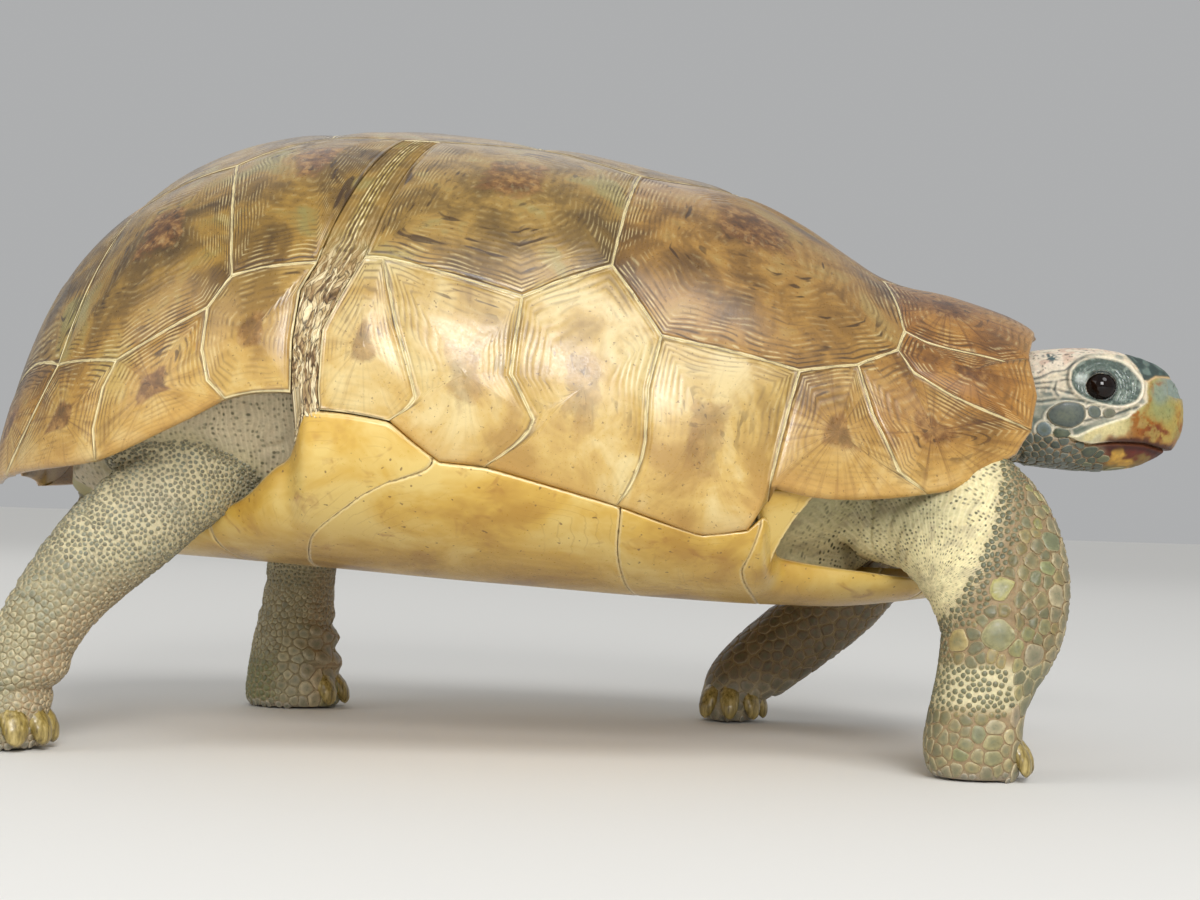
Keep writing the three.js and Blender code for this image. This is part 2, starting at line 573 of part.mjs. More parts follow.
// Trunk sections: x, and how far each fills the shell there; it stops short of both openings.
const TRUNK_ROWS = [[-97, 0.3], [-92, 0.7], [-84, 0.93], [-70, 1], [-45, 1], [-14, 1], [12, 1], [30, 1],
  [40, 0.94], [47, 0.76], [52, 0.56], [55.5, 0.34]];
const TRUNK_DEGREES = [0, 30, 58, 84, 110, 144, 180];
const CHEST = 45; // ahead of it the trunk rises towards the neck
function trunkShape(grow = 0) {
  const around = [...TRUNK_DEGREES, ...rising(TRUNK_DEGREES.slice(1, -1)).map((degrees) => -degrees)];
  return loft(TRUNK_ROWS.map(([x, share]) => {
    const height = lerp(eaves(x), keel(x), 0.25) + Math.max(0, x - CHEST) * 0.35;
    const heart = new V3(x, 0, height);
    return around.map((degrees) => {
      const p = onShell([x, degrees]);
      const out = p.clone().sub(heart).normalize();
      p.addScaledVector(out, grow - SKIN_INSET).sub(heart).multiplyScalar(share);
      return p.add(heart).setX(x);
    });
  }));
}

// ---------------------------------------------------------------- materials
const finish = (color, roughness) => new THREE.MeshStandardMaterial({ color, roughness, metalness: 0 });
const HORN_BROWN = finish('#8a6a34', 0.35);
const HORN_AMBER = finish('#c9a14a', 0.35);
const HINGE_SKIN = finish('#b39b6e', 0.8);
const LEG_SKIN = finish('#a39a70', 0.75);
const HEAD_SKIN = finish('#6f7468', 0.6);
const SOFT_SKIN = finish('#c2b48c', 0.8);
const EYE_BLACK = finish('#0c0a09', 0.05);

// ---------------------------------------------------------------- the model
const tortoise = new THREE.Group();
function add(name, geometry, material) {
  const mesh = new THREE.Mesh(geometry, material);
  mesh.name = name;
  tortoise.add(mesh);
}

// Each entry: name, outline, areola, options, material.
const plates = [];
[['right', (c) => c, 1], ['left', mirrored, -1]].forEach(([side, turn, sign]) => {
  COSTALS.forEach(([corners, [x, degrees]], k) => {
    plates.push([`costal_${k + 1}_${side}`, turn(corners), [x, sign * degrees], { lift: 1.1 }, HORN_BROWN]);
  });
  MARGINALS.forEach(([corners, [x, degrees]], k) => {
    plates.push([`marginal_${k + 1}_${side}`, turn(corners), [x, sign * degrees], { lift: 0.5 }, HORN_AMBER]);
  });
});
VERTEBRALS.forEach(([half, x, finer], k) => {
  const options = { lift: 1, ...finer };
  plates.push([`vertebral_${k + 1}`, [...half, ...mirrored(half)], [x, 0], options, HORN_BROWN]);
});
plates.push(['nuchal', [NUCHAL_REAR, RIM.nuchal, [NOSE_END, 0], ...mirrored([NUCHAL_REAR, RIM.nuchal])],
  [70, 0], { lift: 0.3 }, HORN_BROWN]);
plates.push(['supracaudal', [RUMP_CORNER, RIM.supracaudal, [TAIL_END + 0.4, 60], [TAIL_END + 0.4, -60],
  ...mirrored([RUMP_CORNER, RIM.supracaudal])], [-109, 0], { lift: 0.3 }, HORN_AMBER]);
plates.forEach(([name, corners, areola, options, material]) => {
  add(name, plate(corners, areola, options), material);
});
BELLY_NAMES.forEach((name, k) => add(name, bellyPlate(k), HORN_AMBER));
add('hinge_right', strip(HINGE_LINES, 1), HINGE_SKIN);
add('hinge_left', strip(HINGE_LINES, -1), HINGE_SKIN);

const CLEAR = 2.2 * GAP;
const keepClear = plates.map(([, corners, areola, options]) => plate(corners, areola,
  { ...options, grow: CLEAR }));
keepClear.push(strip(HINGE_LINES, 1, { grow: CLEAR }), strip(HINGE_LINES, -1, { grow: CLEAR }));
BELLY_NAMES.forEach((_, k) => keepClear.push(bellyPlate(k, CLEAR), bellyPlate(k, 0)));
add('trunk', trimmed(trunkShape(), keepClear), SOFT_SKIN);
add('neck', trimmed(neckShape(), [trunkShape(GAP), headShape(GAP), ...keepClear]), SOFT_SKIN);
add('tail', trimmed(tailShape(), [trunkShape(GAP), ...keepClear]), SOFT_SKIN);
Object.entries(LEGS).forEach(([name, { rows, foot }]) => {
  const { middle, reach, heading, spread, count, length } = foot;
  const nails = claws(middle, reach, heading, spread, count, length);
  add(name, trimmed(joined(limb(rows, LEG_SIDES), ...nails), [trunkShape(GAP), ...keepClear]), LEG_SKIN);
});
const eyeCentres = { eye_right: EYE.centre.clone().multiply(new V3(1, -1, 1)), eye_left: EYE.centre };
add('head', trimmed(headShape(), Object.values(eyeCentres).map((c) => ball(c, EYE.radius, GAP))), HEAD_SKIN);
Object.entries(eyeCentres).forEach(([name, centre]) => {
  add(name, mergeVertices(ball(centre, EYE.radius)), EYE_BLACK);
});

// The origin is the middle of the footprint, on the floor.
const box = new THREE.Box3().setFromObject(tortoise);
const middle = box.getCenter(new V3());
tortoise.position.set(-middle.x, -middle.y, -box.min.z);

export default tortoise;
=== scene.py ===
import math
from functools import partial

import bpy
import numpy as np
from mathutils import Matrix, Vector
from mathutils.bvhtree import BVHTree
from mathutils.kdtree import KDTree


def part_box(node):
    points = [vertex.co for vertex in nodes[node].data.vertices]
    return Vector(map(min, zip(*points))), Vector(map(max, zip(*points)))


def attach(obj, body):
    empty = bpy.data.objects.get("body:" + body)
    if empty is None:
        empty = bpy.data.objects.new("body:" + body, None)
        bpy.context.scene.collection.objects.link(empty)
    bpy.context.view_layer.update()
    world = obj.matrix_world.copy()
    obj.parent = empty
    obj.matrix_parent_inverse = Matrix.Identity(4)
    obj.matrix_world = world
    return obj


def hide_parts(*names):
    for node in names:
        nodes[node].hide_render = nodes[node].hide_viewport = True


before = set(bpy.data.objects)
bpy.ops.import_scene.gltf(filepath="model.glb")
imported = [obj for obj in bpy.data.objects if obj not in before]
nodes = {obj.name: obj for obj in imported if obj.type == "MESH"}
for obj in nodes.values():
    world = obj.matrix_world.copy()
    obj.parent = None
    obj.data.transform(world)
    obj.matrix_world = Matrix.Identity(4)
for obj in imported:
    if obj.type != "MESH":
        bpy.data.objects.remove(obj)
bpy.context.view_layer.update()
rng = np.random.default_rng(7)

# ------------------------------------------------------------------ scutes of the carapace
# The shell's upper side: five vertebral, eight costal and twenty-six rim scutes of horn over bone. Each
# grew outwards from its areola, so it carries nested growth lines down to the pale new horn at its seams.
# Each is laid on one smooth shell surface and fixed where its plain CAD plate lies.
CROWN_TOP, CROWN_PEAK, RUMP_END, RIM_LEVEL = 110.3, -38.0, -107.0, 44.0
TAIL_END, WIDEST, HALF_WIDTH, FRONT_REACH = -112.0, -55.0, 66.0, 155.0
DOME_POWER, BELLY_POWER = 2.3, 2.8
BRIDGE_REAR, BRIDGE_FRONT, BRIDGE_FADE = -47.0, 26.5, 4.5
EYE = np.array([92.2, 8.4, 68.2])
EYE_RADIUS = 3.1
SHIFT = sum(corner.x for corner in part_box("eye_right")) * 500 - EYE[0]


def curve(stations):
    """A smooth curve through (x, value) stations, level at both ends."""
    xs, vs = np.array(stations, float).T
    slope = np.zeros(len(xs))
    slope[1:-1] = (vs[2:] - vs[:-2]) / (xs[2:] - xs[:-2])

    def at(x):
        x = np.clip(x, xs[0], xs[-1])
        k = np.clip(np.searchsorted(xs, x) - 1, 0, len(xs) - 2)
        h = xs[k + 1] - xs[k]
        t = (x - xs[k]) / h
        return ((2 * t**3 - 3 * t**2 + 1) * vs[k] + (t**3 - 2 * t**2 + t) * h * slope[k]
                + (3 * t**2 - 2 * t**3) * vs[k + 1] + (t**3 - t**2) * h * slope[k + 1])
    return at


def step(x, low, high):
    """Smoothly 0 up to low and 1 from high on."""
    t = np.clip((x - low) / (high - low), 0, 1)
    return t * t * (3 - 2 * t)


crown_front = curve([(-38, 110.3), (-10, 108.5), (10, 104.6), (23, 101.8), (36, 95.8), (50, 87.3),
                     (64, 84), (76, 80), (84, 75.5)])
eaves = curve([(-112, 43.5), (-98, 45), (-82, 47.5), (-67, 53), (-55, 58.5), (-40, 60.5), (-20, 58), (0, 54),
               (15, 50), (28, 47), (40, 45), (57, 46.4), (66, 49.5), (74, 52), (84, 55)])
keel = curve([(-112, 33), (-60, 31), (-20, 28.5), (40, 26), (72, 29)])
lobe_half = curve([(-93, 9), (-88, 22), (-80, 32), (-70, 40), (-60, 48), (-50, 57.5),
                   (27, 46), (32, 42), (45, 38.5), (58, 31), (67, 19), (72, 9)])
lobe_edge = curve([(-93, 35), (-80, 36.5), (-70, 39), (-60, 43.5), (-50, 51),
                   (27, 38), (32, 36), (45, 34), (58, 32.5), (72, 32)])


def crown(x):
    t = np.clip((CROWN_PEAK - x) / (CROWN_PEAK - RUMP_END), 0, 1)
    rump = RIM_LEVEL + (CROWN_TOP - RIM_LEVEL) * np.sqrt(1 - t**2.4)
    flare = RIM_LEVEL + 1.5 + (x - TAIL_END) * 2
    blend = 2.5
    turned_out = blend * np.logaddexp(rump / blend, flare / blend)
    return np.where(x >= CROWN_PEAK, crown_front(x), np.where(x > -96, rump, turned_out))


def half_width(x):
    ahead = x >= WIDEST
    reach = np.where(ahead, FRONT_REACH, WIDEST - TAIL_END)
    power = np.where(ahead, 2.4, 2.0)
    t = np.clip(np.abs(x - WIDEST) / reach, 0, 1)
    return HALF_WIDTH * (1 - t**power) ** (1 / power)


def belly_frame(x):
    """Half width and edge height of the shell's underside, which is the bridge or a free lobe."""
    bridge = (step(x, BRIDGE_REAR - BRIDGE_FADE, BRIDGE_REAR)
              * (1 - step(x, BRIDGE_FRONT, BRIDGE_FRONT + BRIDGE_FADE)))
    half = lobe_half(x) + (half_width(x) - lobe_half(x)) * bridge
    return half, lobe_edge(x) + (eaves(x) - lobe_edge(x)) * bridge


def on_shell(x, degrees):
    """A point of the shell: degrees run down the right side from the crown (0) to the belly (180)."""
    x, degrees = np.broadcast_arrays(np.asarray(x, float), np.asarray(degrees, float))
    turned = (degrees + 540) % 360 - 180
    a = np.radians(np.abs(turned))
    side = np.where(turned < 0, 1.0, -1.0)
    across, lift = np.sin(a), np.cos(a)
    level = eaves(x)
    half, edge = belly_frame(x)
    above = lift >= 0
    y = np.where(above, half_width(x) * across ** (2 / DOME_POWER), half * across ** (2 / BELLY_POWER))
    z = np.where(above, level + (crown(x) - level) * np.abs(lift) ** (2 / DOME_POWER),
                 edge - (edge - keel(x)) * np.abs(lift) ** (2 / BELLY_POWER))
    return np.stack([x, side * y, z], -1)


def place_of(p):
    """The (x, degrees) of points that lie close to the shell's surface."""
    x, y, z = p[..., 0], p[..., 1], p[..., 2]
    level = eaves(x)
    half, edge = belly_frame(x)
    rise = np.clip((z - level) / (crown(x) - level), 0, None) ** (DOME_POWER / 2)
    over = np.degrees(np.arctan2((np.abs(y) / half_width(x)) ** (DOME_POWER / 2), rise))
    fall = np.clip((edge - z) / (edge - keel(x)), 0, None) ** (BELLY_POWER / 2)
    under = 180 - np.degrees(np.arctan2((np.abs(y) / half) ** (BELLY_POWER / 2), fall))
    found = [np.where(y > 0, -d, d) for d in (over, np.maximum(under, 90.01))]
    misses = [np.linalg.norm(on_shell(x, d) - p, axis=-1) for d in found]
    return np.stack([x, np.where(misses[0] <= misses[1], *found)], -1)


def unit(v):
    return v / np.maximum(np.linalg.norm(v, axis=-1, keepdims=True), 1e-9)


def outward(p):
    """The way out of the shell at points near it."""
    axis = np.stack([np.clip(p[..., 0], -70, 50), np.zeros(p.shape[:-1]), np.clip(p[..., 2], 46, 56)], -1)
    return unit(p - axis)


def cad_mesh(node):
    """A CAD node's points in millimetres, with doubled points made one, and its triangles."""
    data = nodes[node].data
    points = np.empty(len(data.vertices) * 3)
    data.vertices.foreach_get("co", points)
    points = points.reshape(-1, 3) * 1000 - [SHIFT, 0, 0]
    data.calc_loop_triangles()
    corners = np.empty(len(data.loop_triangles) * 3, int)
    data.loop_triangles.foreach_get("vertices", corners)
    _, first, same = np.unique(np.round(points, 3), axis=0, return_index=True, return_inverse=True)
    return points[first], same.ravel()[corners].reshape(-1, 3)


def plate_outline(node):
    """The points round a CAD plate's upper face, opened out to the seam's middle, and its areola."""
    points, faces = cad_mesh(node)
    a, b, c = (points[faces[:, k]] for k in range(3))
    normal = unit(np.cross(b - a, c - a))
    top = faces[np.sum(normal * outward((a + b + c) / 3), -1) > 0.4]
    halves = {(int(f[k]), int(f[(k + 1) % 3])) for f in top for k in range(3)}
    rim = {i: j for i, j in halves if (j, i) not in halves}
    start = min(rim)
    loop = [start]
    while rim[loop[-1]] != start:
        loop.append(rim[loop[-1]])
    inner, valence = np.unique(top[~np.isin(top, loop)], return_counts=True)
    hub = points[inner[np.argmax(valence)]]
    return points[loop] + unit(points[loop] - hub) * PLATE_GAP / 2, hub


def value_noise(p, seed=0):
    """Smooth noise from 0 to 1 at points, one cell to each unit of length."""
    cell = np.floor(p).astype(np.int64)
    t = p - cell
    t = t * t * (3 - 2 * t)
    total = np.zeros(p.shape[:-1])
    for corner in range(8):
        pick = np.array([corner & 1, corner >> 1 & 1, corner >> 2 & 1])
        n = (cell + pick) @ np.array([73856093, 19349663, 83492791]) + seed * 1274126177
        n = (n ^ (n >> 13)) * 1103515245 & 0x7FFFFFFF
        n = (n ^ (n >> 15)) * 12345 & 0x7FFFFFFF
        weight = np.prod(np.where(pick, t, 1 - t), -1)
        total += weight * (n % 65521) / 65521
    return total


def tree_through(points):
    """A search tree of points."""
    tree = KDTree(len(points))
    for k, point in enumerate(points):
        tree.insert(point, k)
    tree.balance()
    return tree


def make_piece(name, points, faces, shades=None):
    """A smooth mesh object from points in the shell's millimetres, with shades kept on its points."""
    data = bpy.data.meshes.new(name)
    faces = [np.asarray(f).reshape(-1, np.asarray(f).shape[-1]) for f in faces]
    corners = np.concatenate([f.ravel() for f in faces])
    sizes = np.concatenate([np.full(len(f), f.shape[-1]) for f in faces])
    data.vertices.add(len(points))
    data.vertices.foreach_set("co", ((points + [SHIFT, 0, 0]) / 1000).astype(np.float32).ravel())
    data.loops.add(len(corners))
    data.loops.foreach_set("vertex_index", corners.astype(np.int32))
    data.polygons.add(len(sizes))
    data.polygons.foreach_set("loop_start", (np.cumsum(sizes) - sizes).astype(np.int32))
    data.polygons.foreach_set("use_smooth", np.ones(len(sizes), bool))
    data.update(calc_edges=True)
    for key, values in (shades or {}).items():
        kind = "FLOAT_VECTOR" if np.ndim(values) == 2 else "FLOAT"
        layer = data.attributes.new(key, kind, "POINT")
        layer.data.foreach_set("vector" if kind == "FLOAT_VECTOR" else "value",
                               np.asarray(values, np.float32).ravel())
    data.validate()
    piece = bpy.data.objects.new(name, data)
    bpy.context.scene.collection.objects.link(piece)
    return piece


def sheet_faces(rows, columns, closed=True, start=0):
    """The quads of a sheet of points, rows by columns, whose columns may run round in a loop."""
    r, c = np.meshgrid(np.arange(rows - 1), np.arange(columns if closed else columns - 1), indexing="ij")
    a = start + r * columns + c
    b = start + r * columns + (c + 1) % columns
    return np.stack([a, b, b + columns, a + columns], -1).reshape(-1, 4)


def slab_faces(rows, columns):
    """The faces of two sheets of points, the second under the first, and of the edges between them."""
    base = rows * columns
    r, c = np.arange(rows - 1), np.arange(columns - 1)
    last, end = columns - 1, (rows - 1) * columns
    return [sheet_faces(rows, columns, closed=False),
            sheet_faces(rows, columns, closed=False, start=base)[:, ::-1],
            np.stack([r * columns, (r + 1) * columns, base + (r + 1) * columns, base + r * columns], -1),
            np.stack([r * columns + last, base + r * columns + last, base + (r + 1) * columns + last,
                      (r + 1) * columns + last], -1), np.stack([c, base + c, base + c + 1, c + 1], -1),
            np.stack([end + c, end + c + 1, base + end + c + 1, base + end + c], -1)]


def slab(name, top, low, shades, turned=False):
    """A piece from two sheets of points. Each shade has the top's values and the underside's one value."""
    rows, columns = top.shape[:2]
    faces = slab_faces(rows, columns)
    kept = {}
    for key, (values, under) in shades.items():
        values = values.reshape(rows * columns, *values.shape[2:])
        kept[key] = np.concatenate([values, np.full(values.shape, under)])
    points = np.concatenate([top.reshape(-1, 3), low.reshape(-1, 3)])
    return make_piece(name, points, [f[:, ::-1] for f in faces] if turned else faces, kept)


PLATE_GAP = 0.45  # between neighbouring CAD plates
SCUTE_DEPTH = 2.4
AROUND, ALONG = 0.95, 0.3  # mesh steps round a scute and from its seam to its areola
RIM_ROUND, SEAM_ROUND = 1.2, 0.14
EDGE_RINGS = [0, 0.0015, 0.004, 0.008, 0.013, 0.019, 0.027, 0.036, 0.047, 0.06]
UNDER_RINGS = [0, 0.02, 0.08, 0.35, 0.7]
LIFT = {"costal": 1.1, "vertebral": 1.0, "marginal": 0.5}  # how high each kind domes over the shell
PLAIN_LIFT = 0.3
RIM_START = BRIDGE_FRONT + 1.6  # ahead of this a rim scute ends at the eaves

scute_names = [n for n in sorted(nodes) if n.startswith(("costal", "marginal", "vertebral"))]
scute_names = [n for n in scute_names if not n.endswith("right")] + ["nuchal", "supracaudal"]
outlines = {}
for node in scute_names:
    loop, hub = plate_outline(node)
    outlines[node] = loop, hub
    if node.endswith("left"):
        outlines[node.replace("left", "right")] = loop[::-1] * [1, -1, 1], hub * [1, -1, 1]
# Neighbouring scutes share the middle of their seam, and a point that no neighbour shares is on the rim.
corners = np.concatenate([loop for loop, _ in outlines.values()])
shared = tree_through(corners)
near = [[k for _, k, _ in shared.find_range(corner, 0.9)] for corner in corners]
met = np.array([corners[k].mean(0) for k in near])
alone = np.array([len(k) < 2 for k in near])
HINGE_REACH, HINGE_LOW = (-52, -28), 56  # where rims belong to the hinge, along x and from which height up


def by_hinge(p):
    return (p[:, 0] > HINGE_REACH[0]) & (p[:, 0] < HINGE_REACH[1]) & (p[:, 2] > HINGE_LOW)


def scute(name, loop, free, hub, plate):
    """One scute: nested rings from its seam to its areola, and a plain underside."""
    kind = name.split("_")[0]
    lift = LIFT.get(kind, PLAIN_LIFT)
    heart = place_of(hub)
    places = place_of(loop)
    outline, rimmed = [], []
    for k in range(len(places)):
        ahead = (k + 1) % len(places)
        parts = max(1, round(np.linalg.norm(loop[ahead] - loop[k]) / AROUND))
        t = np.arange(parts)[:, None] / parts
        straight = places[k] * (1 - t) + places[ahead] * t
        # Along a free rim the edge bows between its points instead of running straight.
        before, after = places[k - 1], places[(k + 2) % len(places)]
        if free[k] and free[ahead] and (free[k - 1] or free[(k + 2) % len(places)]):
            enter = (places[ahead] - before) / 2 if free[k - 1] else places[ahead] - places[k]
            leave = (after - places[k]) / 2 if free[(k + 2) % len(places)] else places[ahead] - places[k]
            straight = straight + t * (1 - t) * ((1 - t) * (enter - (places[ahead] - places[k]))
                                                 - t * (leave - (places[ahead] - places[k])))
        outline.append(straight)
        rimmed.append(np.full(parts, float(free[k] or free[ahead])))
    outline, rimmed = np.concatenate(outline), np.concatenate(rimmed)
    # Ahead of the bridge a rim scute ends at the eaves, and doesn't turn under to the belly.
    outline[:, 1] = np.where(outline[:, 0] > RIM_START, np.clip(outline[:, 1], -90, 90), outline[:, 1])
    edge = on_shell(*outline.T)
    centre = on_shell(*heart)
    count = len(outline)
    along = unit(np.roll(edge, -1, 0) - edge)
    reach = np.linalg.norm(np.cross(along, centre - edge), axis=-1)
    window = np.ones(5) / 5
    reach = np.convolve(np.concatenate([reach[-2:], reach, reach[:2]]), window, "valid")
    rimmed = np.convolve(np.concatenate([rimmed[-2:], rimmed, rimmed[:2]]), window, "valid")
    inner = np.linspace(EDGE_RINGS[-1], 1, max(10, round(reach.mean() / ALONG)) + 1)[1:-1]
    t = np.concatenate([EDGE_RINGS, inner])[:, None]
    depth = t * reach  # millimetres in from the seam
    x = heart[0] + (outline[:, 0] - heart[0]) * (1 - t)
    degrees = heart[1] + (outline[:, 1] - heart[1]) * (1 - t)
    surface = on_shell(x, degrees)
    out = outward(surface)
    turn = np.cumsum(np.linalg.norm(np.roll(edge, -1, 0) - edge, axis=-1))
    girth = turn[-1]
    angle = 2 * np.pi * turn / girth + 0 * t
    weave = np.stack([np.cos(angle) * girth / 6.28 + 90 * plate, np.sin(angle) * girth / 6.28, depth], -1)
    wander = value_noise(weave * [0.16, 0.16, 0.35], 3) - 0.5
    phase = GROWTH_LINES[kind] * (1 - t) ** 2.1 + 2.2 * wander * (1 - t)
    groove = np.abs(np.sin(np.pi * phase)) ** 0.6 - 1
    worn = step(value_noise(surface * 0.09 + plate, 5), 0.3, 0.75)
    polished = step(np.abs(degrees), 76, 92) if kind == "marginal" else 0
    groove_depth = 0.1 * step(1 - t, 0.22, 0.5) * (0.1 + worn) * step(depth, 0.5, 1.2) * (1 - 0.9 * polished)
    seam = 0.08 * np.exp(-((depth - 0.22) / 0.2) ** 2) - 0.12 * np.exp(-((depth - 0.75) / 0.22) ** 2)
    round_over = SEAM_ROUND + (RIM_ROUND - SEAM_ROUND) * rimmed
    short = np.clip(round_over - depth, 0, round_over)
    drop = round_over - np.sqrt(np.maximum(round_over**2 - short**2, 0))
    height = lift * (1 - (1 - t) ** 2) + groove * groove_depth + seam * (1 - rimmed) - drop
    height += 0.25 * (value_noise(surface * 0.12, 9) - 0.5) * step(depth, 0, 3)
    top = surface + out * height[..., None]
    rows = len(t)
    under_t = np.array(UNDER_RINGS)[:, None]
    under = on_shell(heart[0] + (outline[:, 0] - heart[0]) * (1 - under_t),
                     heart[1] + (outline[:, 1] - heart[1]) * (1 - under_t))
    tuck = np.clip(1 - under_t * reach, 0, 1) ** 2 * rimmed
    under = under - outward(under) * (SCUTE_DEPTH - tuck)[..., None]
    low_hub = on_shell(*heart) - outward(on_shell(*heart)) * SCUTE_DEPTH
    high_hub = on_shell(*heart) + outward(on_shell(*heart)) * lift
    points = np.concatenate([top.reshape(-1, 3), high_hub[None], under.reshape(-1, 3), low_hub[None]])
    base = rows * count + 1
    i = np.arange(count)
    j = (i + 1) % count
    last = (rows - 1) * count
    low_last = base + (len(under_t) - 1) * count
    faces = [sheet_faces(rows, count), sheet_faces(len(under_t), count, start=base)[:, ::-1],
             np.stack([i, base + i, base + j, j], -1),
             np.stack([last + i, last + j, np.full(count, rows * count)], -1),
             np.stack([low_last + j, low_last + i, np.full(count, base + len(under_t) * count)], -1)]
    low = step(np.abs(degrees), 58, 88)
    # High on the shell the costal horn runs into the hinge with no pale seam.
    ends = (np.interp(np.abs(degrees), [24, 67.5], line) for line in ([-30, -39.1], [-36, -46.7]))
    fused = (sum(np.abs(x - end) < 1.3 for end in ends) * (kind == "costal")
             * (1 - step(np.abs(degrees), 60, 66)))

    def padded(values, hub_value, under_value):
        return np.concatenate([values.reshape(rows * count, *np.shape(values)[2:]), [hub_value],
                               np.repeat([under_value], len(under_t) * count + 1, 0)])
    shades = {
        "grow": padded(1 - t + 0 * depth, 0, 0.9),
        "growth": padded(phase + 0 * depth, 0, 0.5),
        "seam": padded(depth + 3 * fused, reach.mean(), 3),
        "rim": padded(rimmed * np.exp(-depth / 2.5), 0, 0),
        "low": padded(low, low[-1].mean(), 0.8),
        "polished": padded(polished + 0 * depth, 0, 0),
        "weave": padded(weave, weave[-1].mean(0), weave[-1].mean(0)),
    }
    return make_piece("scute_" + name, points, faces, shades)


GROWTH_LINES = {"costal": 17, "vertebral": 15, "marginal": 8, "nuchal": 8, "supracaudal": 10}
scutes = {}
first = 0
for plate, (name, (loop, hub)) in enumerate(outlines.items()):
    part = slice(first, first + len(loop))
    free = alone[part] & ~by_hinge(met[part])
    scutes[name] = scute(name, met[part], free, hub, plate)
    first += len(loop)
    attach(scutes[name], "root")
    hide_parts(name)


def linear(colour):
    """An sRGB hex value as the linear colour that a shader takes."""
    parts = [int(colour[k:k + 2], 16) / 255 for k in (1, 3, 5)]
    return [c / 12.92 if c <= 0.04045 else ((c + 0.055) / 1.055) ** 2.4 for c in parts] + [1]


def add_node(tree, kind, *values, out=0, stops=None, **settings):
    """Adds a node with its settings, and values or links for its inputs in order. Returns its output."""
    node = tree.nodes.new("ShaderNode" + kind)
    for key, value in settings.items():
        setattr(node, key, value)
    if stops:
        elements = node.color_ramp.elements
        while len(elements) < len(stops):
            elements.new(0.5)
        for element, (at, colour) in zip(elements, stops):
            element.position, element.color = at, linear(colour)
    for socket, value in zip([s for s in node.inputs if s.enabled], values):
        if isinstance(value, bpy.types.NodeSocket):
            tree.links.new(value, socket)
        elif value is not None:
            socket.default_value = linear(value) if isinstance(value, str) else value
    outputs = [s for s in node.outputs if s.enabled]
    return outputs[out] if isinstance(out, int) else node.outputs[out]


def linked(kind, **settings):
    """A function that adds one kind of node to the tree of the values given to it."""
    def join(*values):
        tree = next(value.id_data for value in values if isinstance(value, bpy.types.NodeSocket))
        return add_node(tree, kind, *values, **settings)
    return join


mix, remap = linked("Mix", data_type="RGBA"), linked("MapRange")
plus, less, times = (linked("Math", operation=kind) for kind in ("ADD", "SUBTRACT", "MULTIPLY"))


def ramp(value, stops):
    return add_node(value.id_data, "ValToRGB", value, stops=stops)


def millimetres(add):
    """The object's own coordinates in millimetres."""
    return add("VectorMath", add("TexCoord", out="Object"), 1000.0, operation="SCALE")


def kept_shade(add, name, out="Fac"):
    """A shade that was kept on the mesh's points."""
    return add("Attribute", attribute_name=name, out=out)


def finish(name, **shader):
    """A new material with its shader's constant values, and the function that adds a node to it."""
    made = bpy.data.materials.new(name)
    made.use_nodes = True
    for socket, value in shader.items():
        made.node_tree.nodes["Principled BSDF"].inputs[socket.replace("_", " ")].default_value = value
    return made, partial(add_node, made.node_tree)


def wire(made, **links):
    """Links outputs to a material's shader."""
    shader = made.node_tree.nodes["Principled BSDF"]
    for socket, output in links.items():
        made.node_tree.links.new(output, shader.inputs[socket.replace("_", " ")])


CARAPACE_CLOUDS = [(0.34, "#4f3b1a"), (0.45, "#6f5526"), (0.54, "#8f6f30"), (0.66, "#857843")]


